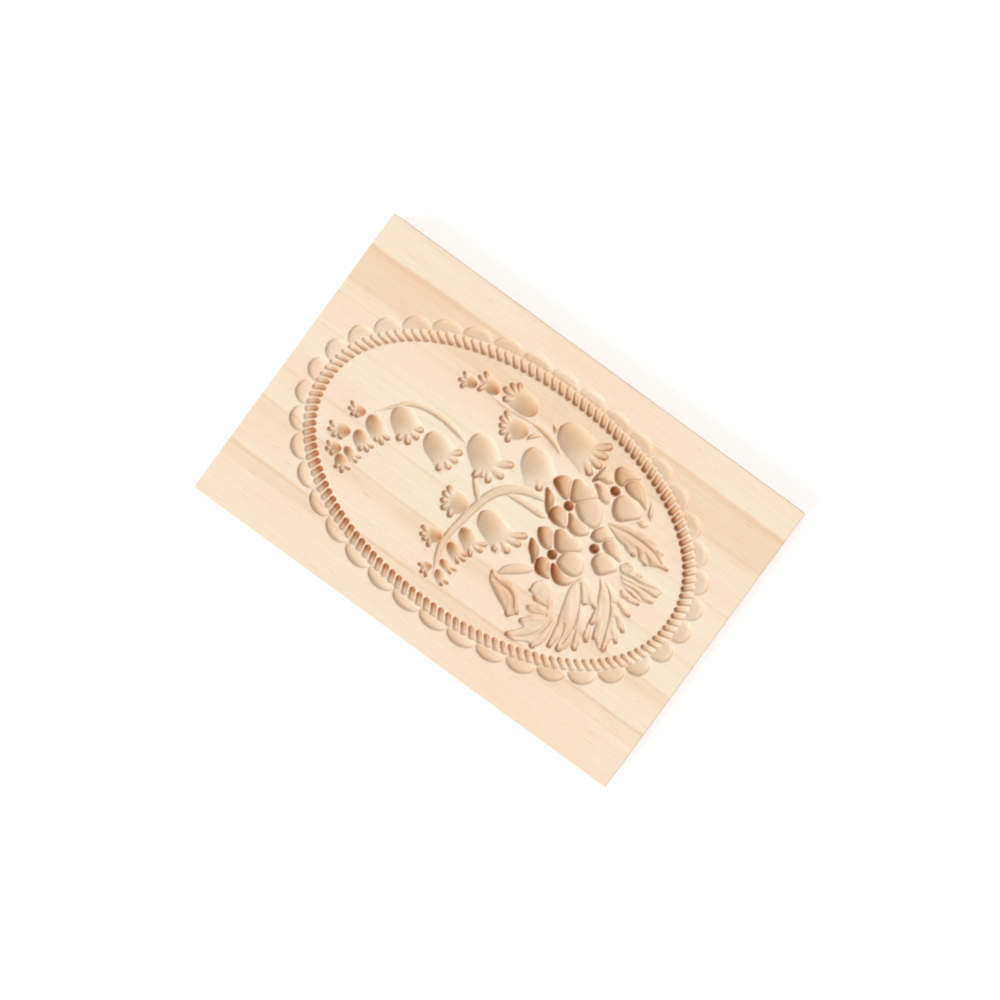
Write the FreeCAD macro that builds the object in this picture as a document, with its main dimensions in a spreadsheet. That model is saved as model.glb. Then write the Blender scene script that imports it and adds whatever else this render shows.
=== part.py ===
import FreeCAD, Part
import Sketcher
import math
import os

# Carved wooden cookie mould: one flat softwood board, carved on its top face.
# Millimetres. Origin at the middle of the underside, X along the board, Z up.

os.makedirs("parts", exist_ok=True)
doc = FreeCAD.newDocument("CookieMould")
V = FreeCAD.Vector

# Driving sizes
SIZES = [
    ("board_length", 150.0),
    ("board_width", 100.0),
    ("board_thickness", 18.0),
    ("edge_ease", 0.4),
    ("end_margin", 12.2),
    ("side_margin", 12.6),
    ("oval_fullness", 2.1),
    ("rope_pitch", 2.463),
    ("rope_slot_length", 4.0),
    ("rope_slot_width", 1.7),
    ("rope_depth", 1.3),
    ("rope_lay_angle", 65.0),
    ("rope_stretch", 1.2),
    ("scallop_pitch", 8.49),
    ("scallop_stretch", 1.38),
    ("scallop_start", 2.1),
    ("scallop_reach_side", 5.1),
    ("scallop_reach_end", 6.1),
    ("scallop_land", 0.3),
    ("scallop_depth", 1.6),
    ("bell_depth_ratio", 0.23),
    ("lobe_depth_ratio", 0.14),
    ("petal_depth", 1.9),
    ("eye_width", 3.4),
    ("eye_depth", 2.9),
    ("leaf_hollow_depth", 0.6),
    ("leaf_depth", 1.3),
    ("stem_depth", 0.9),
]

sheet = doc.addObject("Spreadsheet::Sheet", "Sizes")
for row, (alias, value) in enumerate(SIZES, start=1):
    sheet.set(f"A{row}", alias)
    sheet.set(f"B{row}", str(value))
    sheet.setAlias(f"B{row}", alias)
doc.recompute()


def size(alias):
    return float(getattr(sheet, alias))


# The posy's points below are drawn for a rope oval of these half axes.
DRAWN_HALF_LENGTH = 62.8
DRAWN_HALF_WIDTH = 37.4

# Hanging bell flowers: closed end, middle of the mouth, width, tips of the rim's lobes
BELLS = [
    ((-17, 11.5), (-6, 4.5), 9, [(-2.6, 10.9), (-2.9, 5.8), (-5.7, 2), (-8.2, 2), (-10.3, 0.8)]),
    ((-28.5, 3.5), (-18, 0), 8, [(-17, 5), (-16.5, 1.9), (-17.2, -1.4), (-19.7, -3.8)]),
    ((-40.5, 4.5), (-32, 0), 8, [(-30, 3.4), (-29.8, 0.4), (-31.3, -2.8), (-34.6, -3.6)]),
    ((-45.3, -2), (-39, -6), 5.5, [(-36.6, -4.6), (-37.3, -7.2), (-39.5, -7.6)]),
    ((-47, -2.2), (-50.5, -4), 3.8, [(-52.3, -2), (-52, -4.2), (-50, -5.6), (-48.2, -5.2)]),
    ((-46, -8), (-41, -10.5), 5, [(-39, -9.2), (-39.6, -11.4), (-41.8, -12.6)]),
    ((-47.3, -9.5), (-52, -12), 4.5, [(-54, -10.4), (-53.2, -12.8), (-50.6, -13.9), (-48.2, -13)]),
    ((-46.5, -15), (-50, -17), 3.8, [(-51.2, -15.6), (-50.2, -18), (-47.6, -18.5)]),
    ((-45.8, -14), (-41.8, -15.3), 3, [(-40.2, -13.8), (-40.3, -15.8)]),
    ((-46.3, -17), (-42.5, -19.3), 3.8, [(-40.8, -18.6), (-42.2, -20.9), (-45, -20.8)]),
    ((-25.2, 23.5), (-29.5, 22.8), 3.6, [(-30.7, 24.6), (-30.7, 21.6), (-28.8, 20)]),
    ((-18.8, 25.2), (-24.5, 26.2), 4.5, [(-25.6, 28.3), (-26.5, 26), (-24.2, 22.3)]),
    ((-6.3, 26.8), (-15.5, 27.8), 7, [(-15.5, 31.5), (-17.4, 30), (-18.5, 27.4), (-16.8, 24.6)]),
    ((-4.8, 20.8), (-12, 18.8), 6.5,
     [(-14, 22.5), (-14.3, 20.1), (-13.2, 17.8), (-11.5, 15.8), (-8.3, 15)]),
    ((-1.5, 18), (7, 11.5), 9.5, [(7.9, 9)]),
    ((2, 28.5), (15, 25.5), 9.5, [(17.7, 32.5), (18.5, 29), (18.7, 25.3), (17.4, 21.5)]),
    ((-6.2, -7.5), (-13, -8.5), 7,
     [(-14.6, -5.2), (-15, -7.7), (-14.1, -10.2), (-12.3, -12.2), (-8.9, -12.8)]),
    ((-2.2, -5.8), (9.5, -9.5), 8, [(12.9, -3.6), (13, -7), (11.5, -11.1), (7.6, -13.3)]),
    ((-4, -13), (2.5, -16), 5, [(4.9, -12.7), (5, -15.3), (2.8, -18.6)]),
    ((-7, -18.8), (-12, -20.5), 4.5,
     [(-14.1, -19.4), (-13.2, -21.8), (-11.4, -22.9), (-8.9, -23.5)]),
    ((-4.6, -18.7), (0, -20.8), 3.6, [(2, -18.6), (2.5, -20.4), (1.2, -22.3)]),
    ((-3.6, -24.3), (0, -25), 2.6, [(2, -24.1), (1.2, -26)]),
    ((-2.8, -27.3), (0.5, -29.2), 3, [(2.4, -28.6), (1.2, -30.4)]),
    ((-4.7, -27.2), (-6.7, -29), 3, [(-8.3, -29.1), (-6.2, -31), (-4.2, -31)]),
]


# A bell's sections: share of its length, of its half width and of its depth, then its rim
BELL_STATIONS = [(0.05, 0.55, 0.55), (0.2, 0.86, 0.9), (0.6, 0.95, 1), (0.96, 1.04, 0.86)]
BELL_RIM = 1.1
BELL_THROAT = 0.62
BELL_FACETS = 10
# A rim lobe's widest stretch: its width, where it starts, and how far from the tip it ends
LOBE_SPREAD = 1.1
LOBES_LEAST = 3
LOBE_WAIST = 0.45
LOBE_NOSE = 0.4

# Stalks: points along each one with the width of the cut there, running out at both ends
STEMS = [
    [(-45.5, -1), (-42, 3, 1.1), (-38.5, 6.9, 1.8), (-34, 8.9, 2.1), (-28, 9.5, 2.2),
     (-22, 8.8, 2), (-17.6, 7.6)],
    [(-6.6, 24), (-2, 24.1, 1.4), (3, 23.1, 1.4), (7.2, 21)],
    [(-4.2, 18.6), (-3.3, 20.8, 1.1), (-0.6, 23.1)],
    [(12.6, 8), (9.5, 7.8, 1.6), (6.5, 7.2, 2.2), (2.9, 5.9, 2.6), (-0.9, 2.9, 2.7), (-3.2, -0.8, 2.5),
     (-4.6, -6, 2.4), (-5.6, -12, 2.2), (-6.3, -18, 1.8), (-5.4, -23, 1.8), (-2.6, -29.8)],
    [(-10.6, 2), (-9.4, 0.7, 1.7), (-5.6, -3.1, 1.8), (-4.4, -4.5)],
    [(0.2, 2.5), (4, 3.4, 1.7), (9, 3.8, 2.1), (12.6, 3.9, 2), (14.2, 3.8)],
    [(20.4, -10.2), (18.6, -11.4, 2.4), (14, -15, 2.7), (11.8, -18.2)],
    [(-0.4, 27.6), (1, 26.6, 1), (1.6, 25.2)],
]

# Open flowers: middle of the eye, then each petal's outline with its lowest point last
FLOWERS = [
    ((17.5, 10.7), [
        [(9.6, 14.2), (10.8, 16.6), (13.4, 17.6), (14.6, 15.6), (15.8, 12.6), (15, 11.8),
         (12.2, 12.6), (12.6, 15)],
        [(14.6, 17.2), (15.8, 18.7), (18, 18.2), (20.6, 18.9), (22.8, 17.6), (21, 15.2),
         (18.6, 12.9), (16.8, 12.8),
         (18.4, 16.4)],
        [(19.6, 11.6), (19.6, 13.2), (23.4, 17), (26, 15.6), (27.9, 12.2), (27, 9.7), (23, 9.5),
         (23.8, 12.8)],
        [(19.2, 9.2), (22, 8.8), (25.4, 9.1), (26.9, 7.4), (24.2, 5), (21.2, 5.4), (20.4, 7), (23, 7)],
        [(14, 7), (15.2, 8.7), (17.2, 8.8), (19.6, 6.4), (20.3, 4.9), (17, 4.2), (14.4, 5),
         (16.6, 6.4)],
        [(9.3, 11.3), (11.6, 10.6), (13, 9.2), (13.9, 5.4), (12.4, 6.4), (10.6, 8.8), (12, 8.8)],
    ]),
    ((22, -3.7), [
        [(14.4, 0), (15.4, 1.4), (17.4, 2.1), (19, 0), (20.4, -2.4), (19, -3.3), (16.4, -2.4),
         (17, -0.2)],
        [(19, 2.2), (20.5, 3.9), (23.6, 3.2), (26.4, 4), (28.1, 2.3), (26.4, 0.6), (23.8, -1.6),
         (21.6, -1.5),
         (23, 1.6)],
        [(24.4, -3.4), (25, -1.2), (27.6, 0.7), (30.4, 0), (32, -2.6), (31, -5), (27.6, -5.8),
         (24.8, -5),
         (28.2, -2.6)],
        [(23.8, -5.7), (26.4, -6.4), (29.2, -7), (31.4, -5.9), (30.6, -8.5), (27.8, -9.7),
         (25, -8.2), (28, -8.2)],
        [(19.4, -7.2), (20.8, -5.9), (22.6, -6.2), (23.8, -8.2), (25.2, -9.9), (21.6, -10.6),
         (19.9, -9.2),
         (21.8, -8.6)],
        [(14.4, -3.4), (17, -4.2), (18.4, -6), (18.8, -9), (17.2, -7.6), (15.4, -6), (17, -6.2)],
    ]),
    ((26, 22.3), [
        [(22.8, 27.2), (23.4, 29), (26, 29.7), (29.8, 29.6), (27.2, 27), (26.6, 24.7),
         (24.4, 24.9), (25.2, 27.6)],
        [(27.7, 25), (28.2, 27.2), (30.4, 28.4), (33.4, 26.6), (36.5, 23.2), (34, 23.9),
         (30.6, 24), (31.4, 25.8)],
        [(27.6, 20.2), (29.2, 22.8), (33.4, 23.1), (36.4, 20.6), (34.6, 18.2), (31.8, 15.8),
         (29.2, 16.8),
         (31.6, 19.8)],
        [(19.6, 26.2), (21.6, 25.6), (23.8, 24.1), (22.6, 22.8), (20.2, 22.4), (18.9, 21), (21.2, 24)],
        [(20.2, 20.6), (23, 21.4), (25, 20.4), (26.4, 18.3), (24.2, 17.6), (21.8, 19.3), (23.4, 19.8)],
    ]),
    ((31, 5), [
        [(28.2, 7.4), (28.2, 9.7), (30, 11.8), (33.4, 11), (32, 9), (30.8, 7.3), (29.4, 7),
         (30.2, 9.2)],
        [(32.4, 7.5), (32.6, 9), (34.4, 10.2), (36.8, 8.8), (39.3, 6.6), (37, 6.3), (34.4, 6.3),
         (35, 8)],
        [(33.2, 4.6), (36.6, 5.8), (39.9, 4.1), (38.4, 1.6), (36.4, -0.5), (34.4, 0), (32.6, 1.8),
         (35.8, 2.8)],
    ]),
]


# Leaves and the bud: outlines of their shallow hollows
LEAVES = [
    [(29.6, 13.4), (33, 15), (36, 16.4), (38, 16), (41.4, 17.4), (42, 16.2), (44.8, 17.2), (45.4, 15.8),
     (48.4, 15.8), (48.6, 14.4), (52.6, 12.5), (49.6, 11.6), (46.2, 9.8), (45.4, 11), (43, 11),
     (41.8, 9.7), (40.2, 11), (37, 10.8), (33.4, 11.6)],
    [(40, 5.6), (42.2, 7.8), (44, 6.6), (46.8, 7.4), (47.6, 6.2), (49, 6.6), (52.6, 7), (54.6, 6.4),
     (54.3, 4.4), (54.6, 2.2), (53.4, 1.3), (51, 0.4), (48, 0.2), (45, 0.8), (42.6, 2.4), (41, 4)],
    [(37.4, -0.4), (42, -1.6), (46, -3.4), (51.4, -4.6), (49.6, -6.2), (50.8, -8), (52.6, -9.6),
     (50, -10.4), (52.6, -13.6), (50.4, -14), (51.4, -18.1), (49, -18), (47, -16.6), (46, -14.8),
     (44.8, -12), (42.6, -13.9), (42.6, -10), (40.6, -6.4), (39, -3.4)],
    [(33, -4), (31.8, -8), (33, -13), (34.6, -18.4), (36, -22), (36.4, -26.4), (37.6, -26), (38.2, -24),
     (39.6, -26), (41, -24.6), (42, -22.6), (43.9, -22.6), (43.6, -20), (42.4, -18), (45.2, -18.9),
     (44.6, -17), (42.4, -14), (40, -12.4), (38, -10.2), (41.2, -8.5), (40, -7.2), (38, -6), (35.6, -4.4)],
    [(27, -11.6), (24.6, -11), (23, -13.4), (22.8, -16.4), (24, -16.4), (25.4, -18), (27.2, -17.8),
     (28.6, -18.2), (25, -19.6), (25, -21), (27.6, -22), (25.6, -24.2), (26, -25.6), (27.4, -26),
     (25.6, -28.6), (24.4, -30.9), (27.4, -31), (30.4, -29.2), (32, -29), (33, -29.9), (34.4, -28),
     (35.2, -25), (34.6, -21), (33.8, -18.6), (31.6, -16.6), (30.6, -14), (29, -12)],
    [(10.3, -17.3), (11.6, -18.4), (14.4, -18.3), (17, -17.4), (20, -19.4), (21.6, -21), (24, -23.2),
     (23.4, -24.6), (22, -26.3), (19.6, -24.9), (17.4, -23.9), (15, -22.6), (12.4, -21.4), (10.8, -19.8)],
]

# Strokes cut deeper in the leaves and the bud: points from root to tip, as for the stalks
FOLIAGE = [
    [(29.6, 13.9), (34, 14.9, 1.7), (40, 15.5, 2.9), (45, 15, 2.3), (49.4, 13.7)],
    [(31, 12.2), (35, 12.9, 1.7), (42, 12.5, 3.1), (48, 12.1, 2.3), (52.6, 12.5)],
    [(35.5, 12.2), (39, 11.1, 2.1), (41.9, 9.7)],
    [(40.6, 12), (43.8, 11, 2.3), (46.3, 9.8)],
    [(36, 15.6), (39.4, 16.5, 1.7), (42, 17.4)],
    [(40.4, 16), (43, 16.6, 1.6), (44.9, 17.2)],
    [(44.4, 15.4), (46.8, 15.4, 1.3), (48.4, 15.8)],
    [(36.2, 18.6), (38.4, 19.2, 2.3), (40, 20.1)],
    [(39.6, 21), (38.3, 23, 1.6), (36.4, 26.6)],
    [(40, 5), (44, 5.2, 1.7), (48, 5.5, 1.6), (52.6, 6.6)],
    [(40.2, 5.8), (42.2, 7.2, 1.6), (44.2, 6.2)],
    [(44.4, 5.7), (46.2, 6.4, 1.3), (47, 7.2)],
    [(45.4, 3.4), (50, 4.2, 1.8), (53.4, 5, 1.6), (54.4, 6.4)],
    [(42.6, 2.7), (48, 2.7, 2), (52.6, 2.9, 1.4), (54.6, 2.2)],
    [(43.4, 1.7), (47.4, 1.1, 1.7), (51, 1, 1.3), (53.4, 1.5)],
    [(45, -1.7), (46.6, -1, 1.6), (47.7, 0.1)],
    [(47.6, -1.4), (49.8, -0.8, 1.4), (51.4, -0.5)],
    [(37.8, -0.6), (42, -2.6, 1.6), (45.4, -5.8, 2.3), (48, -9, 2.2), (52.4, -9.9)],
    [(43.4, -2.6), (47.6, -3.9, 2.1), (51.3, -5)],
    [(46, -5.4), (49.4, -7.6, 1.6), (51.2, -8.9)],
    [(47.5, -9.8), (50.2, -11.6, 2.1), (52.5, -13.7)],
    [(47.6, -10.6), (49.4, -14.4, 2.6), (51.2, -18.1)],
    [(39.4, -4), (42, -7.4, 2.1), (43.5, -10.8, 2.6), (42.5, -13.8)],
    [(43.2, -6.8), (45, -10.8, 1.8), (46.6, -14.4, 2.2), (47.2, -16.8)],
    [(33, -3.2), (34.6, -6, 2.2), (36.6, -8, 2.3), (38.2, -10.2)],
    [(36.6, -5), (38.8, -7.6, 2.6), (41.6, -8.6)],
    [(32.4, -8.2), (34.6, -12.4, 3.9), (36.8, -17, 3.9), (38.8, -22.4)],
    [(38, -10.9), (39.9, -15, 1.6), (41.4, -18.6)],
    [(41, -13.6), (43.2, -16.6, 2.3), (45.3, -18.8)],
    [(41.6, -17.4), (42.6, -20.2, 2.5), (43.9, -22.8)],
    [(39.4, -18.4), (40.6, -22.2, 2.9), (39.8, -26)],
    [(36, -19.4), (37, -22.8, 2.3), (37, -26.5)],
    [(24.8, -11.2), (23.2, -13.8, 1.6), (23, -16.4)],
    [(26.2, -11.6), (26.2, -14.8, 3.6), (25.6, -17.9)],
    [(28.6, -12.2), (29.4, -15.2, 2.6), (31.6, -18)],
    [(31.4, -17.6), (28.4, -18.8, 2.1), (25, -20.4)],
    [(31.8, -19.4), (28.8, -22, 3.1), (25.6, -25)],
    [(32.6, -20.4), (30.6, -25, 3.9), (28, -28.4, 3.4), (24.5, -30.9)],
    [(34.3, -19.4), (33.9, -25, 3.1), (32.8, -29.8)],
    [(12.6, -19.4), (16.4, -18.6, 2.5), (20, -20.4, 2.6), (23.9, -24)],
    [(10.2, -18.2), (12.4, -20.4, 2.3), (17, -22.8, 3.4), (22.2, -26.5)],
]

# Facets of the oval's path, of a scallop's rim and of an eye's rim
OVAL_SAMPLES = 1440
SCALLOP_FACETS = 8
EYE_FACETS = 12

# How much larger a petal is cut than it is drawn
PETAL_SPREAD = 1.07
# Where a hollow's wall meets its floor: share of the way out from the lowest point to the rim
PETAL_FLOOR = 0.7
EYE_FLOOR = 0.75
SCALLOP_FLOOR = 0.78
# How far a petal's or an eye's floor has risen there, as a share of its depth
FLOOR_RISE = 0.3
# Width of a rope slot's flat floor, as a share of the slot's width
ROPE_FLOOR = 0.4

half_length = size("board_length") / 2 - size("end_margin")
half_width = size("board_width") / 2 - size("side_margin")
face = size("board_thickness")
stretch_x = half_length / DRAWN_HALF_LENGTH
stretch_y = half_width / DRAWN_HALF_WIDTH
growth = math.sqrt(stretch_x * stretch_y)
UP = V(0, 0, 1)


def on_face(x, y, depth=0.0):
    """Place of a drawn point, with the oval at its present size."""
    return V(x * stretch_x, y * stretch_y, face - depth)


def solid_from(faces):
    """Closed solid from the corner points of its flat faces."""
    sides = [Part.Face(Part.makePolygon(corners + corners[:1])) for corners in faces]
    solid = Part.makeSolid(Part.makeShell(sides))
    if solid.Volume < 0:
        solid.reverse()
    return solid


def joined(solids):
    """One shape from cuts that may cross each other."""
    return solids[0].multiFuse(solids[1:])


def oval_steps(pitch, stretch):
    """Even steps round an oval that is then stretched along X, from its left end."""
    ring = []
    for step in range(OVAL_SAMPLES + 1):
        angle = math.pi - 2 * math.pi * step / OVAL_SAMPLES
        across, along = math.cos(angle), math.sin(angle)
        power = 2 / size("oval_fullness")
        ring.append(V(
            half_length / stretch * math.copysign(abs(across) ** power, across),
            half_width * math.copysign(abs(along) ** power, along),
            0))
    lengths = [0.0]
    true_length = 0.0
    for start, stop in zip(ring, ring[1:]):
        lengths.append(lengths[-1] + start.distanceToPoint(stop))
        true_length += V((stop.x - start.x) * stretch, stop.y - start.y, 0).Length
    count = round(true_length / pitch)
    places = []
    step = 0
    for number in range(count):
        while lengths[step + 1] < lengths[-1] * number / count:
            step += 1
        tangent = ring[step + 1].sub(ring[step]).normalize()
        share = (lengths[-1] * number / count - lengths[step]) / (lengths[step + 1] - lengths[step])
        places.append((ring[step] + (ring[step + 1] - ring[step]) * share, tangent))
    return places


def rope_slots():
    """Slanting slots whose ridges look like the strands of a laid rope."""
    half_long, half_wide = size("rope_slot_length") / 2, size("rope_slot_width") / 2
    shoulder, depth = half_long - half_wide, size("rope_depth")
    flat = half_wide * ROPE_FLOOR
    ends = [V(-half_long, 0, 0), V(half_long, 0, 0)]
    near = [V(-shoulder, -half_wide, 0), V(shoulder, -half_wide, 0)]
    far = [V(-shoulder, half_wide, 0), V(shoulder, half_wide, 0)]
    near_floor = [V(-shoulder, -flat, -depth), V(shoulder, -flat, -depth)]
    far_floor = [V(-shoulder, flat, -depth), V(shoulder, flat, -depth)]
    slot = solid_from([
        [ends[0], near[0], near[1], ends[1], far[1], far[0]],
        [near[0], near[1], near_floor[1], near_floor[0]],
        [near_floor[0], near_floor[1], far_floor[1], far_floor[0]],
        [far[0], far[1], far_floor[1], far_floor[0]],
        [ends[0], near[0], near_floor[0]],
        [ends[0], near_floor[0], far_floor[0]],
        [ends[0], far[0], far_floor[0]],
        [ends[1], near[1], near_floor[1]],
        [ends[1], near_floor[1], far_floor[1]],
        [ends[1], far[1], far_floor[1]],
    ])
    stretch = size("rope_stretch")
    slots = []
    for place, tangent in oval_steps(size("rope_pitch"), stretch):
        lay = FreeCAD.Rotation(UP, -size("rope_lay_angle")).multVec(tangent)
        turn = math.degrees(math.atan2(lay.y, lay.x * stretch))
        copy = slot.copy()
        copy.Placement = FreeCAD.Placement(V(place.x * stretch, place.y, face), FreeCAD.Rotation(UP, turn))
        slots.append(copy)
    return joined(slots)


def scallops():
    """Shell-shaped hollows outside the rope, with a steep outer wall and a floor that rises to the rope."""
    stretch = size("scallop_stretch")
    start, depth = size("scallop_start"), size("scallop_depth")
    side, end = size("scallop_reach_side"), size("scallop_reach_end")
    feet = []
    for place, tangent in oval_steps(size("scallop_pitch"), stretch):
        outward = V(-tangent.y, tangent.x * stretch, 0).normalize()
        feet.append((V(place.x * stretch, place.y, face) + outward * start, outward))
    cuts = []
    for number, (foot, outward) in enumerate(feet):
        before, after = feet[number - 1][0], feet[(number + 1) % len(feet)][0]
        half_chord = (before.distanceToPoint(after) / 2 - size("scallop_land")) / 2
        reach = side + (end - side) * abs(outward.x) - start
        along = V(-outward.y, outward.x, 0) * half_chord
        turns = [math.pi * step / SCALLOP_FACETS for step in range(SCALLOP_FACETS + 1)]
        rim = [foot + along * math.cos(turn) + outward * (reach * math.sin(turn)) for turn in turns]
        floor = [foot + (corner - foot) * SCALLOP_FLOOR - UP * (depth * math.sqrt(math.sin(turn)))
                 for corner, turn in zip(rim[1:-1], turns[1:-1])]
        faces = [rim + [foot], [rim[0], rim[1], floor[0]], [rim[-1], rim[-2], floor[-1]],
                 [rim[0], floor[0], foot], [rim[-1], floor[-1], foot]]
        for step in range(len(floor) - 1):
            faces.append([rim[step + 1], rim[step + 2], floor[step + 1]])
            faces.append([rim[step + 1], floor[step + 1], floor[step]])
            faces.append([floor[step], floor[step + 1], foot])
        cuts.append(solid_from(faces))
    return joined(cuts)


def bell(closed_end, mouth, width, tips):
    """Trumpet flower: a round-bottomed hollow lying on its side, with pointed lobes at the rim."""
    start, stop = on_face(*closed_end), on_face(*mouth)
    heading = stop - start
    across = UP.cross(heading).normalize() * (width * growth / 2)
    down = UP * (-width * growth * size("bell_depth_ratio"))
    rings = []
    for share, wide, deep in BELL_STATIONS:
        turns = [math.pi * number / BELL_FACETS for number in range(BELL_FACETS + 1)]
        middle = start + heading * share
        rings.append([middle + across * (wide * math.cos(turn)) + down * (deep * math.sin(turn))
                      for turn in turns])
    rim = start + heading * BELL_RIM
    faces = [[start] + [ring[0] for ring in rings] + [rim] + [ring[-1] for ring in reversed(rings)]]
    for number in range(BELL_FACETS):
        faces.append([start, rings[0][number], rings[0][number + 1]])
        faces.append([rim, rings[-1][number], rings[-1][number + 1]])
        for near, far in zip(rings, rings[1:]):
            faces.append([near[number], near[number + 1], far[number]])
            faces.append([near[number + 1], far[number + 1], far[number]])
    throat = [near + (far - near) * BELL_THROAT for near, far in zip(closed_end, mouth)]
    lobe_width = LOBE_SPREAD * width / max(len(tips), LOBES_LEAST)
    cuts = [solid_from(faces)]
    for tip in tips:
        blunt = 1 - LOBE_NOSE * lobe_width / math.dist(throat, tip)
        path = [throat]
        for share in (LOBE_WAIST, blunt):
            path.append((*[near + (far - near) * share for near, far in zip(throat, tip)], lobe_width))
        cuts.append(stroke(path + [tip], width * growth * size("lobe_depth_ratio")))
    return cuts


def stroke(path, depth):
    """V cut along a path, running out to nothing at both ends."""
    widest = max(spot[2] for spot in path[1:-1])
    places = [on_face(spot[0], spot[1]) for spot in path]
    first, last = places[0], places[-1]
    left, right, floor = [], [], []
    for number in range(1, len(path) - 1):
        wide = path[number][2] * growth
        across = UP.cross(places[number + 1] - places[number - 1]).normalize() * (wide / 2)
        left.append(places[number] + across)
        right.append(places[number] - across)
        floor.append(places[number] - UP * (depth * path[number][2] / widest))
    faces = [[first, left[0], floor[0]], [first, right[0], floor[0]],
             [last, left[-1], floor[-1]], [last, right[-1], floor[-1]],
             [first] + left + [last] + right[::-1]]
    for number in range(len(floor) - 1):
        for rail in (left, right):
            faces.append([rail[number], rail[number + 1], floor[number]])
            faces.append([rail[number + 1], floor[number + 1], floor[number]])
    return solid_from(faces)


def bowl(rim, low, steep):
    """Hollow with a steep wall from its rim and a gentle floor from there to its lowest point."""
    turn = []
    for corner in rim:
        turn.append(low + (corner - low) * steep - UP * ((corner.z - low.z) * (steep - FLOOR_RISE)))
    faces = [rim]
    for number in range(len(rim)):
        faces.append([rim[number - 1], rim[number], turn[number]])
        faces.append([rim[number - 1], turn[number], turn[number - 1]])
        faces.append([turn[number - 1], turn[number], low])
    return solid_from(faces)


def petal(points):
    """Petal of an open flower, drawn a little small to keep its neighbours apart."""
    corners = [on_face(*spot) for spot in points[:-1]]
    middle = on_face(*[sum(values) / len(corners) for values in zip(*points[:-1])])
    rim = [middle + (corner - middle) * PETAL_SPREAD for corner in corners]
    return bowl(rim, on_face(*points[-1], size("petal_depth")), PETAL_FLOOR)


def leaf_hollow(points):
    """Shallow hollow of a leaf."""
    rim = [on_face(*spot) for spot in points]
    return Part.Face(Part.makePolygon(rim + rim[:1])).extrude(UP * -size("leaf_hollow_depth"))


def flower_eye(middle):
    """Round-nosed hole at the middle of an open flower."""
    top = on_face(*middle)
    rim = []
    for number in range(EYE_FACETS):
        turn = 2 * math.pi * number / EYE_FACETS
        rim.append(top + V(math.cos(turn), math.sin(turn), 0) * (size("eye_width") / 2))
    return bowl(rim, top - UP * size("eye_depth"), EYE_FLOOR)


def cutter(name, shape):
    """Feature that holds a shape to be cut away."""
    feature = doc.addObject("Part::Feature", name)
    feature.Shape = shape
    return feature


def board_blank():
    """Planed board with its edges eased."""
    body = doc.addObject("PartDesign::Body", "Blank")
    plane = next(item for item in body.Origin.OriginFeatures if item.Role == "XY_Plane")
    sketch = body.newObject("Sketcher::SketchObject", "BoardOutline")
    sketch.AttachmentSupport = [(plane, "")]
    sketch.MapMode = "FlatFace"
    corners = [V(-1, -1, 0), V(1, -1, 0), V(1, 1, 0), V(-1, 1, 0)]
    for number in range(4):
        sketch.addGeometry(Part.LineSegment(corners[number], corners[(number + 1) % 4]), False)
    for number in range(4):
        sketch.addConstraint(Sketcher.Constraint("Coincident", number, 2, (number + 1) % 4, 1))
    sketch.addConstraint(Sketcher.Constraint("Horizontal", 0))
    sketch.addConstraint(Sketcher.Constraint("Horizontal", 2))
    sketch.addConstraint(Sketcher.Constraint("Vertical", 1))
    sketch.addConstraint(Sketcher.Constraint("Vertical", 3))
    sketch.addConstraint(Sketcher.Constraint("Symmetric", 0, 1, 1, 2, -1, 1))
    length = sketch.addConstraint(Sketcher.Constraint("DistanceX", 0, 1, 0, 2, 2))
    width = sketch.addConstraint(Sketcher.Constraint("DistanceY", 1, 1, 1, 2, 2))
    sketch.setExpression(f"Constraints[{length}]", "Sizes.board_length")
    sketch.setExpression(f"Constraints[{width}]", "Sizes.board_width")
    pad = body.newObject("PartDesign::Pad", "Thickness")
    pad.Profile = sketch
    pad.setExpression("Length", "Sizes.board_thickness")
    doc.recompute()
    ease = body.newObject("PartDesign::Chamfer", "EasedEdges")
    ease.Base = (pad, [f"Edge{number + 1}" for number in range(len(pad.Shape.Edges))])
    ease.setExpression("Size", "Sizes.edge_ease")
    doc.recompute()
    return body


bell_cuts = [cut for flower in BELLS for cut in bell(*flower)]
stem_cuts = [stroke(path, size("stem_depth")) for path in STEMS]
leaf_cuts = [leaf_hollow(points) for points in LEAVES]
leaf_cuts += [stroke(path, size("leaf_depth")) for path in FOLIAGE]
petal_cuts = [petal(points) for middle, petals in FLOWERS for points in petals]
eye_cuts = [flower_eye(middle) for middle, petals in FLOWERS]
blank = board_blank()
carving = doc.addObject("Part::Compound", "Carving")
carving.Links = [
    cutter("RopeSlots", rope_slots()),
    cutter("Scallops", scallops()),
    cutter("Posy", joined(bell_cuts + stem_cuts + leaf_cuts + petal_cuts + eye_cuts)),
]
mould_board = doc.addObject("Part::Cut", "MouldBoard")
mould_board.Base = blank
mould_board.Tool = carving
mould_board.Refine = False
mould_board.Label = "mould_board"
doc.recompute()

for item in doc.Objects:
    if "Invalid" in item.State or "Error" in item.State:
        raise RuntimeError(f"{item.Name} did not build: {item.State}")
for node in [mould_board]:
    if node.Shape.isNull() or not node.Shape.isValid():
        raise RuntimeError(f"{node.Label} has no sound shape")
    print(node.Label, "solids", len(node.Shape.Solids), "volume", round(node.Shape.Volume, 1))
    node.Shape.exportStep(f"parts/{node.Label}.step")
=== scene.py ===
import math

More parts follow.
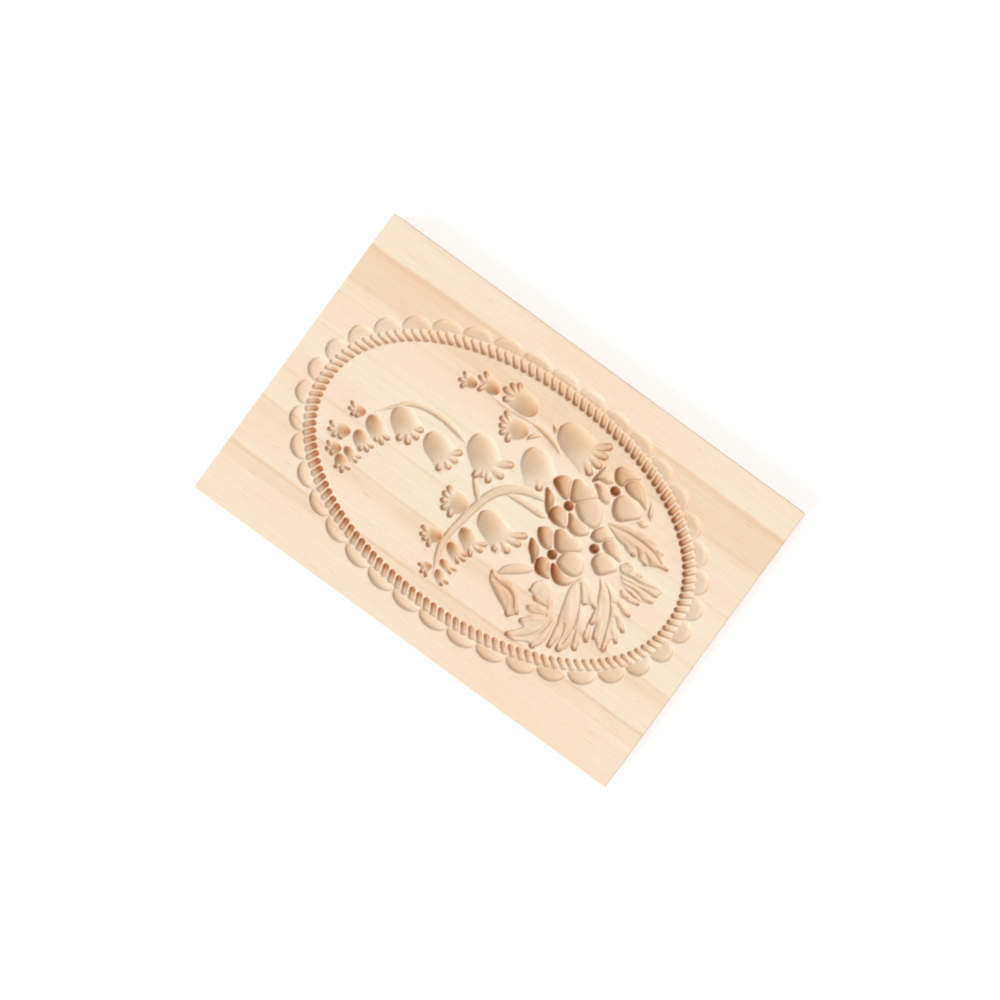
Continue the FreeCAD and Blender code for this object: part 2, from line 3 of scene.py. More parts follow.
import bpy
import numpy as np
from bpy.props import FloatProperty, FloatVectorProperty, IntProperty, PointerProperty
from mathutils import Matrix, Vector


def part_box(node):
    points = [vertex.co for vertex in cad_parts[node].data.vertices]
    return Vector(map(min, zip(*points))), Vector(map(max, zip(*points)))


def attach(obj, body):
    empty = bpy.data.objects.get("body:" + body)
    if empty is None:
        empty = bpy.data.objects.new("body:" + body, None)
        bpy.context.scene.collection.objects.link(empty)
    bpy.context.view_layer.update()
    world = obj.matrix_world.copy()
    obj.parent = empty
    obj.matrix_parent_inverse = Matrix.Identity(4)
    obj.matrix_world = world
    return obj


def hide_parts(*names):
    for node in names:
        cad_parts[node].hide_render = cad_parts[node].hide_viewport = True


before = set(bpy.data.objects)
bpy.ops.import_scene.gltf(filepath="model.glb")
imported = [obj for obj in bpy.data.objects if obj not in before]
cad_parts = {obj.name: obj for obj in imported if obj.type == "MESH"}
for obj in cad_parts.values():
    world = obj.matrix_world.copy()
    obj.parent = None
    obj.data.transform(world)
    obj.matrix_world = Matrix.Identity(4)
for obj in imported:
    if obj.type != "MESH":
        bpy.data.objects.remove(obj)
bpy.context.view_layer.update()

bl_info = {
    "name": "Wooden Cookie Mould",
    "version": (1, 0, 0),
    "blender": (4, 5, 0),
    "location": "3D View > Sidebar > Cookie Mould",
    "description": "A pine board carved with a posy in a rope and scallop oval",
    "category": "Object",
}

MM = 0.001
# The board's upper corner, in millimetres
TOP = Vector(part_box("mould_board")[1]) / MM

# The oval's middle line, in millimetres, as the board's own source has it
OVAL_HALF_LENGTH = 62.8
OVAL_HALF_WIDTH = 37.4
OVAL_FULLNESS = 2.1

# Left and near, where the walls of a hollow lie in shade, and where the cuts get painted shade
SHADED_WAY = np.array([-0.85, -0.53])

# Bells: closed end, middle of the mouth, width there, tips of the lobes
BELLS = [
    ((-17, 11.5), (-6, 4.5), 9, [(-2.6, 10.9), (-2.9, 5.8), (-5.7, 2), (-8.2, 2), (-10.3, 0.8)]),
    ((-28.5, 3.5), (-18, 0), 8, [(-17, 5), (-16.5, 1.9), (-17.2, -1.4), (-19.7, -3.8)]),
    ((-40.5, 4.5), (-32, 0), 8, [(-30, 3.4), (-29.8, 0.4), (-31.3, -2.8), (-34.6, -3.6)]),
    ((-45.3, -2), (-39, -6), 5.5, [(-36.6, -4.6), (-37.3, -7.2), (-39.5, -7.6)]),
    ((-47, -2.2), (-50.5, -4), 3.8, [(-52.3, -2), (-52, -4.2), (-50, -5.6), (-48.2, -5.2)]),
    ((-46, -8), (-41, -10.5), 5, [(-39, -9.2), (-39.6, -11.4), (-41.8, -12.6)]),
    ((-47.3, -9.5), (-52, -12), 4.5, [(-54, -10.4), (-53.2, -12.8), (-50.6, -13.9), (-48.2, -13)]),
    ((-46.5, -15), (-50, -17), 3.8, [(-51.2, -15.6), (-50.2, -18), (-47.6, -18.5)]),
    ((-45.8, -14), (-41.8, -15.3), 3, [(-40.2, -13.8), (-40.3, -15.8)]),
    ((-46.3, -17), (-42.5, -19.3), 3.8, [(-40.8, -18.6), (-42.2, -20.9), (-45, -20.8)]),
    ((-25.2, 23.5), (-29.5, 22.8), 3.6, [(-30.7, 24.6), (-30.7, 21.6), (-28.8, 20)]),
    ((-18.8, 25.2), (-24.5, 26.2), 4.5, [(-25.6, 28.3), (-26.5, 26), (-24.2, 22.3)]),
    ((-6.3, 26.8), (-15.5, 27.8), 7, [(-15.5, 31.5), (-17.4, 30), (-18.5, 27.4), (-16.8, 24.6)]),
    ((-4.8, 20.8), (-12, 18.8), 6.5,
     [(-14, 22.5), (-14.3, 20.1), (-13.2, 17.8), (-11.5, 15.8), (-8.3, 15)]),
    ((-1.5, 18), (7, 11.5), 9.5, [(7.9, 9)]),
    ((2, 28.5), (15, 25.5), 9.5, [(17.7, 32.5), (18.5, 29), (18.7, 25.3), (17.4, 21.5)]),
    ((-6.2, -7.5), (-13, -8.5), 7,
     [(-14.6, -5.2), (-15, -7.7), (-14.1, -10.2), (-12.3, -12.2), (-8.9, -12.8)]),
    ((-2.2, -5.8), (9.5, -9.5), 8, [(12.9, -3.6), (13, -7), (11.5, -11.1), (7.6, -13.3)]),
    ((-4, -13), (2.5, -16), 5, [(4.9, -12.7), (5, -15.3), (2.8, -18.6)]),
    ((-7, -18.8), (-12, -20.5), 4.5,
     [(-14.1, -19.4), (-13.2, -21.8), (-11.4, -22.9), (-8.9, -23.5)]),
    ((-4.6, -18.7), (0, -20.8), 3.6, [(2, -18.6), (2.5, -20.4), (1.2, -22.3)]),
    ((-3.6, -24.3), (0, -25), 2.6, [(2, -24.1), (1.2, -26)]),
    ((-2.8, -27.3), (0.5, -29.2), 3, [(2.4, -28.6), (1.2, -30.4)]),
    ((-4.7, -27.2), (-6.7, -29), 3, [(-8.3, -29.1), (-6.2, -31), (-4.2, -31)]),
]


# Stalks: points along each one with the width of the cut there, running out at both ends
STEMS = [
    [(-45.5, -1), (-42, 3, 0.8), (-38.5, 6.9, 1.2), (-34, 8.9, 1.5), (-28, 9.5, 1.6),
     (-22, 8.8, 1.5), (-17.6, 7.6)],
    [(-6.6, 24), (-2, 24.1, 1.4), (3, 23.1, 1.4), (7.2, 21)],
    [(-4.2, 18.6), (-3.3, 20.8, 1.1), (-0.6, 23.1)],
    [(12.6, 8), (9.5, 7.8, 1.6), (6.5, 7.2, 2.2), (2.9, 5.9, 2.6), (-0.9, 2.9, 2.7), (-3.2, -0.8, 2.5),
     (-4.6, -6, 2.4), (-5.6, -12, 2.2), (-6.3, -18, 1.8), (-5.4, -23, 1.8), (-2.6, -29.8)],
    [(-10.2, 1.4), (-9.2, 0.4, 1.3), (-6.2, -2.6, 1.5), (-4.4, -4.5)],
    [(0.2, 2.5), (4, 3.4, 1.7), (9, 3.8, 2.1), (12.6, 3.9, 2), (14.2, 3.8)],
    [(20.4, -10.2), (18.6, -11.4, 2.4), (14, -15, 2.7), (11.8, -18.2)],
    [(-0.4, 27.6), (1, 26.6, 1), (1.6, 25.2)],
]

# Open flowers: middle of the eye, each petal's outline, and how dark each petal is painted, partly scorch
# and partly painted shade, darkest on the eye's shaded side
FLOWERS = [
    ((17.5, 10.7), [
        [(9.6, 14.2), (10.8, 16.6), (13.4, 17.6), (14.6, 15.6), (15.8, 12.6), (15, 11.8), (12.2, 12.6)],
        [(14.6, 17.2), (15.8, 18.7), (18, 18.2), (20.6, 18.9), (22.8, 17.6), (21, 15.2), (18.6, 12.9),
         (16.8, 12.8)],
        [(19.6, 11.6), (19.6, 13.2), (23.4, 17), (26, 15.6), (27.9, 12.2), (27, 9.7), (23, 9.5)],
        [(19.2, 9.2), (22, 8.8), (25.4, 9.1), (26.9, 7.4), (24.2, 5), (21.2, 5.4), (20.4, 7)],
        [(14, 7), (15.2, 8.7), (17.2, 8.8), (19.6, 6.4), (20.3, 4.9), (17, 4.2), (14.4, 5)],
        [(9.3, 11.3), (11.6, 10.6), (13, 9.2), (13.9, 5.4), (12.4, 6.4), (10.6, 8.8)],
    ], (0.75, 0.45, 0.2, 0.55, 0.8, 0.9)),
    ((22, -3.7), [
        [(14.4, 0), (15.4, 1.4), (17.4, 2.1), (19, 0), (20.4, -2.4), (19, -3.3), (16.4, -2.4)],
        [(19, 2.2), (20.5, 3.9), (23.6, 3.2), (26.4, 4), (28.1, 2.3), (26.4, 0.6), (23.8, -1.6),
         (21.6, -1.5)],
        [(24.4, -3.4), (25, -1.2), (27.6, 0.7), (30.4, 0), (32, -2.6), (31, -5), (27.6, -5.8),
         (24.8, -5)],
        [(23.8, -5.7), (26.4, -6.4), (29.2, -7), (31.4, -5.9), (30.6, -8.5), (27.8, -9.7), (25, -8.2)],
        [(19.4, -7.2), (20.8, -5.9), (22.6, -6.2), (23.8, -8.2), (25.2, -9.9), (21.6, -10.6),
         (19.9, -9.2)],
        [(14.4, -3.4), (17, -4.2), (18.4, -6), (18.8, -9), (17.2, -7.6), (15.4, -6)],
    ], (0.7, 0.5, 0.2, 0.9, 0.95, 0.95)),
    ((26, 22.3), [
        [(22.8, 27.2), (23.4, 29), (26, 29.7), (29.8, 29.6), (27.2, 27), (26.6, 24.7), (24.4, 24.9)],
        [(27.7, 25), (28.2, 27.2), (30.4, 28.4), (33.4, 26.6), (36.5, 23.2), (34, 23.9), (30.6, 24)],
        [(27.6, 20.2), (29.2, 22.8), (33.4, 23.1), (36.4, 20.6), (34.6, 18.2), (31.8, 15.8),
         (29.2, 16.8)],
        [(19.6, 26.2), (21.6, 25.6), (23.8, 24.1), (22.6, 22.8), (20.2, 22.4), (18.9, 21)],
        [(20.2, 20.6), (23, 21.4), (25, 20.4), (26.4, 18.3), (24.2, 17.6), (21.8, 19.3)],
    ], (0.55, 0.5, 0.2, 0.1, 0.1)),
    ((31, 5), [
        [(28.2, 7.4), (28.2, 9.7), (30, 11.8), (33.4, 11), (32, 9), (30.8, 7.3), (29.4, 7)],
        [(32.4, 7.5), (32.6, 9), (34.4, 10.2), (36.8, 8.8), (39.3, 6.6), (37, 6.3), (34.4, 6.3)],
        [(33.2, 4.6), (36.6, 5.8), (39.9, 4.1), (38.4, 1.6), (36.4, -0.5), (34.4, 0), (32.6, 1.8)],
    ], (0.35, 0.45, 0.2)),
]

# Leaves and the bud: outlines of their shallow hollows
LEAVES = [
    [(29.6, 13.4), (33, 15), (36, 16.4), (38, 16), (41.4, 17.4), (42, 16.2), (44.8, 17.2), (45.4, 15.8),
     (48.4, 15.8), (48.6, 14.4), (52.6, 12.5), (49.6, 11.6), (46.2, 9.8), (45.4, 11), (43, 11),
     (41.8, 9.7), (40.2, 11), (37, 10.8), (33.4, 11.6)],
    [(40, 5.6), (42.2, 7.8), (44, 6.6), (46.8, 7.4), (47.6, 6.2), (49, 6.6), (52.6, 7), (54.6, 6.4),
     (54.3, 4.4), (54.6, 2.2), (53.4, 1.3), (51, 0.4), (48, 0.2), (45, 0.8), (42.6, 2.4), (41, 4)],
    [(37.4, -0.4), (42, -1.6), (46, -3.4), (51.4, -4.6), (49.6, -6.2), (50.8, -8), (52.6, -9.6),
     (50, -10.4), (52.6, -13.6), (50.4, -14), (51.4, -18.1), (49, -18), (47, -16.6), (46, -14.8),
     (44.8, -12), (42.6, -13.9), (42.6, -10), (40.6, -6.4), (39, -3.4)],
    [(33, -4), (31.8, -8), (33, -13), (34.6, -18.4), (36, -22), (36.4, -26.4), (37.6, -26), (38.2, -24),
     (39.6, -26), (41, -24.6), (42, -22.6), (43.9, -22.6), (43.6, -20), (42.4, -18), (45.2, -18.9),
     (44.6, -17), (42.4, -14), (40, -12.4), (38, -10.2), (41.2, -8.5), (40, -7.2), (38, -6), (35.6, -4.4)],
    [(27, -11.6), (24.6, -11), (23, -13.4), (22.8, -16.4), (24, -16.4), (25.4, -18), (27.2, -17.8),
     (28.6, -18.2), (25, -19.6), (25, -21), (27.6, -22), (25.6, -24.2), (26, -25.6), (27.4, -26),
     (25.6, -28.6), (24.4, -30.9), (27.4, -31), (30.4, -29.2), (32, -29), (33, -29.9), (34.4, -28),
     (35.2, -25), (34.6, -21), (33.8, -18.6), (31.6, -16.6), (30.6, -14), (29, -12)],
    [(10.3, -17.3), (11.6, -18.4), (14.4, -18.3), (17, -17.4), (20, -19.4), (21.6, -21), (24, -23.2),
     (23.4, -24.6), (22, -26.3), (19.6, -24.9), (17.4, -23.9), (15, -22.6), (12.4, -21.4), (10.8, -19.8)],
]

# How dark each leaf and the bud are painted, partly scorch and partly painted shade in the hollow
LEAF_SCORCH_AND_SHADE = (0.26, 0.18, 0.12, 0.08, 0.1, 0.3)

# Strokes cut deeper in the leaves and the bud: points from root to tip, as for the stalks
FOLIAGE = [
    [(29.6, 13.9), (34, 14.9, 1.7), (40, 15.5, 2.9), (45, 15, 2.3), (49.4, 13.7)],
    [(31, 12.6), (35, 13, 1.5), (42, 12.7, 2.7), (48, 12.2, 2.1), (52.6, 12.5)],
    [(35.5, 12.2), (39, 11.1, 2.1), (41.9, 9.7)],
    [(40.6, 12), (43.8, 11, 2.3), (46.3, 9.8)],
    [(36, 15.6), (39.4, 16.5, 1.7), (42, 17.4)],
    [(40.4, 16), (43, 16.6, 1.6), (44.9, 17.2)],
    [(44.4, 15.4), (46.8, 15.4, 1.3), (48.4, 15.8)],
    [(36.2, 18.6), (38.4, 19.2, 2.3), (40, 20.1)],
    [(39.6, 21), (38.3, 23, 1.6), (36.4, 26.6)],
    [(40, 5), (44, 5.2, 1.7), (48, 5.5, 1.6), (52.6, 6.6)],
    [(40.2, 5.8), (42.2, 7.2, 1.6), (44.2, 6.2)],
    [(44.4, 5.7), (46.2, 6.4, 1.3), (47, 7.2)],
    [(45.4, 3.4), (50, 4.2, 1.8), (53.4, 5, 1.6), (54.4, 6.4)],
    [(42.6, 2.7), (48, 2.7, 2), (52.6, 2.9, 1.4), (54.6, 2.2)],
    [(43.4, 1.7), (47.4, 1.1, 1.7), (51, 1, 1.3), (53.4, 1.5)],
    [(45, -1.7), (46.6, -1, 1.6), (47.7, 0.1)],
    [(47.6, -1.4), (49.8, -0.8, 1.4), (51.4, -0.5)],
    [(37.8, -0.6), (42, -2.6, 1.6), (45.4, -5.8, 2.3), (48, -9, 2.2), (52.4, -9.9)],
    [(43.4, -2.6), (47.6, -3.9, 2.1), (51.3, -5)],
    [(46, -5.4), (49.4, -7.6, 1.6), (51.2, -8.9)],
    [(47.5, -9.8), (50.2, -11.6, 2.1), (52.5, -13.7)],
    [(47.6, -10.6), (49.4, -14.4, 2.6), (51.2, -18.1)],
    [(39.4, -4), (42, -7.4, 2.1), (43.5, -10.8, 2.6), (42.5, -13.8)],
    [(43.2, -6.8), (45, -10.8, 1.8), (46.6, -14.4, 2.2), (47.2, -16.8)],
    [(33, -3.2), (34.6, -6, 2.2), (36.6, -8, 2.3), (38.2, -10.2)],
    [(36.6, -5), (38.8, -7.6, 2.6), (41.6, -8.6)],
    [(32.4, -8.2), (34.6, -12.4, 3.9), (36.8, -17, 3.9), (38.8, -22.4)],
    [(38, -10.9), (39.9, -15, 1.6), (41.4, -18.6)],
    [(41, -13.6), (43.2, -16.6, 2.3), (45.3, -18.8)],
    [(41.6, -17.4), (42.6, -20.2, 2.5), (43.9, -22.8)],
    [(39.4, -18.4), (40.6, -22.2, 2.9), (39.8, -26)],
    [(36, -19.4), (37, -22.8, 2.3), (37, -26.5)],
    [(24.8, -11.2), (23.2, -13.8, 1.6), (23, -16.4)],
    [(26.2, -11.6), (26.2, -14.8, 3.6), (25.6, -17.9)],
    [(28.6, -12.2), (29.4, -15.2, 2.6), (31.6, -18)],
    [(31.4, -17.6), (28.4, -18.8, 2.1), (25, -20.4)],
    [(31.8, -19.4), (28.8, -22, 3.1), (25.6, -25)],
    [(32.6, -20.4), (30.6, -25, 3.9), (28, -28.4, 3.4), (24.5, -30.9)],
    [(34.3, -19.4), (33.9, -25, 3.1), (32.8, -29.8)],
    [(13, -19.2), (16.4, -18.5, 2.2), (20, -20.2, 2.4), (23.9, -24)],
    [(10.2, -18.4), (12.4, -20.2, 1.9), (17, -22.4, 2.8), (22, -25.8)],
]

# The fine stalk under the upper sprig's small bells
FINE_STALK = [(-22, 23.6), (-16, 23.3, 0.9), (-11, 23.5, 0.9), (-7, 24.1, 1), (-3, 24.3)]

# Lobes of the leaves and the bud, which end blunt and deep: root, tip and width of each
LEAF_LOBES = [
    ((38.6, 12.4), (41.8, 9.9), 2.3), ((42.8, 12.2), (46.1, 9.8), 1.8), ((46.6, 12), (52.3, 12.6), 1.5),
    ((49.6, 4.4), (54.4, 4.5), 1.5), ((49.4, 1.8), (54.1, 2.3), 1.5), ((45.2, -0.4), (47.6, -0.9), 1.5),
    ((47.8, -1), (51.4, -0.5), 1.5), ((44.2, 4.8), (47.2, 6.7), 1.9), ((42, 4.7), (44, 6.5), 1.8),
    ((46.4, -3.4), (51.2, -5.2), 1.7), ((48.4, -6.8), (52.4, -10.1), 1.6),
    ((49.6, -10.6), (52.6, -13.9), 1.6), ((47.8, -12.6), (50.8, -18), 2.7),
    ((45, -11.6), (46.6, -16.8), 1.9), ((42.2, -7.4), (43.2, -13.8), 2.1),
    ((35.4, -6.4), (38.3, -10.3), 2.4), ((38, -6.4), (41.7, -9.2), 2.1),
    ((42.8, -14.2), (45.2, -18.9), 1.9), ((41.4, -18.4), (43.8, -22.9), 2.2),
    ((38.8, -18.8), (39.9, -26), 2.7), ((36, -20.6), (37.1, -26.6), 1.9),
    ((24.6, -12), (22.8, -16.4), 1.4), ((26.4, -12.6), (25.6, -17.9), 2.8),
    ((28.6, -18.8), (25, -20.5), 1.9), ((28.8, -22), (25.5, -25.3), 1.9),
    ((28.6, -27), (24.5, -30.9), 2.2), ((33.6, -24.4), (32.8, -29.7), 2.5),
    ((13.6, -19.2), (10.3, -17.9), 1.4), ((20, -23), (22.1, -26.3), 2.1),
    ((21.4, -21.4), (24, -24.2), 1.8),
]

# Ribs that stand up in the leaves and the bud: points along each one
RIBS = [
    [(27.6, 13), (32, 13.5), (35, 14.1), (38, 14.4), (42, 14.5), (46, 14), (49, 13)],
    [(42.9, 9.9), (42.3, 11), (40.8, 12.3)],
    [(46.6, 10.6), (45.6, 11.6), (43.8, 12.6)],
    [(41.6, 3.7), (45, 4.1), (49, 4.7), (53.4, 6.3)],
    [(43.4, 2.6), (46, 3.1), (50, 3.4), (54, 3.5)],
    [(44.4, 1.6), (48, 1.7), (51, 1), (53.4, 0.9)],
    [(24, -18.3), (26.6, -17.9), (29.8, -17.4)],
    [(26.4, -21.6), (28.4, -20.9), (31, -19.4)],
    [(34.6, -18.8), (35.2, -22), (35.8, -25.4)],
    [(36.8, -18.4), (38, -21.4), (38.4, -24.6)],
    [(40.6, -18), (41.4, -20.8), (42, -23.2)],
    [(41.6, -13.2), (42.6, -16), (43.4, -19.4)],
    [(50.8, -6.6), (48.4, -5.6), (45.6, -4.4)],
    [(52, -11.4), (49.8, -9.8), (47.6, -8)],
    [(38, -0.6), (42, -3.2), (44.6, -6.2), (46.6, -10), (48.2, -14), (49.4, -17.2)],
    [(44.8, -4.8), (48, -5.8), (50.6, -6.6)],
    [(33.6, -6), (36.4, -10), (38.4, -14.4), (39.6, -19), (39.4, -23.4)],
    [(28.4, -12), (31.2, -15.6), (33, -19), (32.4, -24), (30.2, -27.4), (27.6, -29.6)],
    [(12.4, -19.5), (15, -19.8), (18, -20), (20, -21), (21.6, -23.2)],
]

# How dark the wood's growth bands are: place across the face in millimetres, then 0 pale to 1 dark
GRAIN_TONES = [
    (-58, 0.1), (-40, 0.18), (-36.5, 0.1), (-35.8, 0.34), (-32.6, 0.28), (-31.6, 0.75), (-30.9, 0.1),
    (-24, 0.12), (-20.4, 0.3), (-19.8, 0.45), (-17.6, 0.3), (-16.9, 0.7), (-16.3, 0.1), (-7.2, 0.12),
    (-5.9, 0.45), (-5.4, 0.08), (3, 0.05), (10.9, 0.12), (11.6, 0.32), (12.2, 0.08), (20.6, 0.12),
    (22, 0.35), (22.8, 0.12), (26.4, 0.34), (27.2, 0.66), (28, 0.48), (37.6, 0.52), (39.6, 0.78),
    (40.6, 0.1), (58, 0.16),
]


class MouldSizes(bpy.types.PropertyGroup):
    """Sizes of the carved board that a user would change."""

    edge_ease: FloatProperty(
        name="Edge ease", description="Rounding of the board's sharp edges",
        default=0.4 * MM, min=0, unit="LENGTH", subtype="DISTANCE")
    grid_step: FloatProperty(
        name="Grid step", description="Spacing of the points that the carving is modelled on",
        default=0.2 * MM, min=0.1 * MM, unit="LENGTH", subtype="DISTANCE")
    rope_depth: FloatProperty(
        name="Rope depth", description="Depth of each slot of the rope",
        default=1.4 * MM, min=0, unit="LENGTH", subtype="DISTANCE")
    scallop_depth: FloatProperty(
        name="Scallop depth", description="Depth of the scallops under their outer wall",
        default=0.95 * MM, min=0, unit="LENGTH", subtype="DISTANCE")
    petal_depth: FloatProperty(
        name="Petal depth", description="Depth of the open flowers' petals",
        default=1.9 * MM, min=0, unit="LENGTH", subtype="DISTANCE")
    eye_depth: FloatProperty(
        name="Eye depth", description="Depth of the round eye in each open flower",
        default=2.5 * MM, min=0, unit="LENGTH", subtype="DISTANCE")
    leaf_hollow: FloatProperty(
        name="Leaf hollow", description="Depth of the shallow hollow of each leaf",
        default=0.75 * MM, min=0, unit="LENGTH", subtype="DISTANCE")
    leaf_depth: FloatProperty(
        name="Leaf depth", description="Depth of the gouge strokes in the leaves",
        default=1.1 * MM, min=0, unit="LENGTH", subtype="DISTANCE")
    stalk_depth: FloatProperty(
        name="Stalk depth", description="Depth of the stalks",
        default=1.0 * MM, min=0, unit="LENGTH", subtype="DISTANCE")
    triangles: IntProperty(
        name="Triangles", description="Triangles that the finished board is thinned to",
        default=188000, min=1000)


def linear(code):
    """Turns an sRGB hex colour into the linear values that sockets take."""
    parts = [int(code[place:place + 2], 16) / 255 for place in (1, 3, 5)]
    return tuple(part / 12.92 if part <= 0.04045 else ((part + 0.055) / 1.055) ** 2.4 for part in parts)


class WoodColours(bpy.types.PropertyGroup):
    """Colours of the pine that a user would change."""

    pale_wood: FloatVectorProperty(
        name="Pale wood", description="Colour of the wood between the growth lines",
        default=linear("#FAE8D0"), size=3, min=0, max=1, subtype="COLOR")
    dark_grain: FloatVectorProperty(
        name="Dark grain", description="Colour of the darkest growth lines",
        default=linear("#EBC49C"), size=3, min=0, max=1, subtype="COLOR")
    pink_wood: FloatVectorProperty(
        name="Pink wood", description="Colour of the pinker patches between the growth lines",
        default=linear("#FAE0C8"), size=3, min=0, max=1, subtype="COLOR")
    # Mixed in more where the cut is deeper, gouged wood also paints shade in the hollows
    gouged_wood: FloatVectorProperty(
        name="Gouged wood", description="Colour of the wood on the carving's floors",
        default=linear("#CFB08C"), size=3, min=0, max=1, subtype="COLOR")
    # Golden wood also paints light shade in the hollows, besides light scorching
    golden_wood: FloatVectorProperty(
        name="Golden wood", description="Colour of the wood where the cutter scorched it lightly",
        default=linear("#C4905A"), size=3, min=0, max=1, subtype="COLOR")
    # Brown wood also paints the deepest shade in the hollows
    brown_wood: FloatVectorProperty(
        name="Brown wood", description="Colour of end grain and of the wood that is scorched most",
        default=linear("#AA5A3A"), size=3, min=0, max=1, subtype="COLOR")
    floor: FloatVectorProperty(
        name="Floor", description="Colour of the plain floor",
        default=linear("#F7F7F7"), size=3, min=0, max=1, subtype="COLOR")


class Relief:
    """Depth of the carving, in millimetres below the face, and how dark the cut is painted: partly the
    cutter's scorching, partly painted shade in the hollows.
    """

    def __init__(self, half_length, half_width, step):
        self.columns = round(2 * half_length / step) + 1
        self.rows = round(2 * half_width / step) + 1
        self.x = np.linspace(-half_length, half_length, self.columns)
        self.y = np.linspace(-half_width, half_width, self.rows)
        self.depth = np.zeros((self.rows, self.columns))
        self.scorch_and_shade = np.zeros((self.rows, self.columns))

    def window(self, points, reach):
        """Rows and columns within reach of some points, and the places there."""
        points = np.asarray(points)
        low = points.min(axis=0) - reach
        high = points.max(axis=0) + reach
        columns = slice(*np.searchsorted(self.x, (low[0], high[0])))
        rows = slice(*np.searchsorted(self.y, (low[1], high[1])))
        return (rows, columns), np.meshgrid(self.x[columns], self.y[rows])

    def cells(self, places):
        """Rows and columns of the grid's points that lie nearest to places in millimetres."""
        step = self.x[1] - self.x[0]
        columns = np.rint((places[:, 0] - self.x[0]) / step).astype(int)
        rows = np.rint((places[:, 1] - self.y[0]) / step).astype(int)
        return np.clip(rows, 0, self.rows - 1), np.clip(columns, 0, self.columns - 1)

    def cut(self, window, depth, scorch_and_shade=0.0):
        """Cuts down to a depth, where the wood isn't already cut deeper, and paints its scorch and shade
        there.
        """
        deeper = depth > self.depth[window]
        before = self.scorch_and_shade[window]
        self.scorch_and_shade[window] = np.where(deeper, np.maximum(scorch_and_shade, before), before)
        self.depth[window] = np.where(deeper, depth, self.depth[window])

    def soften(self):
        """Takes the sharpness off the rims, as the bristle sanding of such a mould does."""
        self.depth = softened(self.depth)
        self.scorch_and_shade = softened(softened(self.scorch_and_shade))


def softened(values):
    """Each value mixed with the ones beside it."""
    for axis in (0, 1):
        padded = np.pad(values, [(1, 1) if axis == side else (0, 0) for side in (0, 1)], mode="edge")
        before = np.take(padded, range(0, values.shape[axis]), axis)
        after = np.take(padded, range(2, values.shape[axis] + 2), axis)
        values = (before + 2 * values + after) / 4
    return values


def smooth_path(points, closed=False, steps=6):
    """Smooth path through points, which hold a place and any sizes there."""
    points = np.array(points, dtype=float)
    if closed:
        ring = np.vstack([points[-1:], points, points[:2]])
    else:
        ring = np.vstack([2 * points[0] - points[1], points, 2 * points[-1] - points[-2]])
    path = []
    for before, start, stop, after in zip(ring, ring[1:], ring[2:], ring[3:]):
        for t in np.arange(steps) / steps:
            bend = 2 * before - 5 * start + 4 * stop - after
            twist = 3 * start - before - 3 * stop + after
            path.append(start + 0.5 * ((stop - before) * t + bend * t ** 2 + twist * t ** 3))
    if not closed:
        path.append(points[-1])
    return np.array(path)


def share_along(places, start, way, reach):
    """How far places lie from a start along a way, as a share of a reach."""
    x, y = places
    return ((x - start[0]) * way[0] + (y - start[1]) * way[1]) / reach


def from_path(places, path):
    """Distance of places from a path, and the path's sizes at the nearest point."""
    x, y = places
    near = np.full(x.shape, np.inf)
    sizes = np.zeros(x.shape + (path.shape[1] - 2,))
    for start, stop in zip(path, path[1:]):
        run = stop[:2] - start[:2]
        share = np.clip(share_along(places, start, run, max(run @ run, 1e-9)), 0, 1)
        gap = np.hypot(x - start[0] - share * run[0], y - start[1] - share * run[1])
        nearer = gap < near
        near = np.where(nearer, gap, near)
        between = start[2:] + share[..., None] * (stop[2:] - start[2:])
        sizes = np.where(nearer[..., None], between, sizes)
    return near, sizes


def depth_inside(places, ring):
    """Distance inwards from a closed ring, below zero outside it."""
    x, y = places
    within = np.zeros(x.shape, dtype=bool)
    for (x0, y0), (x1, y1) in zip(ring, np.roll(ring, -1, axis=0)):
        if y0 != y1:
            crosses = (y0 > y) != (y1 > y)
            within ^= crosses & (x < (x1 - x0) * (y - y0) / (y1 - y0) + x0)
    gap, _ = from_path(places, np.vstack([ring, ring[:1]]))
    return np.where(within, gap, -gap)


def round_wall(distance, radius):
    """0 at a rim to 1 at the foot of its wall, rounded as a ball cutter leaves it."""
    share = np.clip(distance / radius, 0, 1)
    return np.sqrt(1 - (1 - share) ** 2)


def cut_stroke(relief, points, depth, roundness, scorch_and_shade):
    """Cuts a gouge stroke along points with widths, running out at both ends."""
    spots = [(*point, 0.0) if len(point) == 2 else point for point in points]
    path = smooth_path(spots) if len(spots) > 2 else np.array(spots)
    path[:, 2] = np.maximum(path[:, 2] / 2, 0.02)
    widest = path[:, 2].max()
    window, places = relief.window(path[:, :2], widest)
    gap, sizes = from_path(places, path)
    half = sizes[..., 0]
    share = np.clip(gap / half, 0, 1)
    relief.cut(window, depth * (half / widest) ** 0.7 * (1 - share ** 2) ** roundness, scorch_and_shade)


def cut_pit(relief, middle, radius, depth, scorch_and_shade):
    """Cuts a round-bottomed pit."""
    window, (x, y) = relief.window([middle], radius)
    share = np.hypot(x - middle[0], y - middle[1]) / radius
    relief.cut(window, depth * np.sqrt(np.clip(1 - share ** 2, 0, 1)), scorch_and_shade)


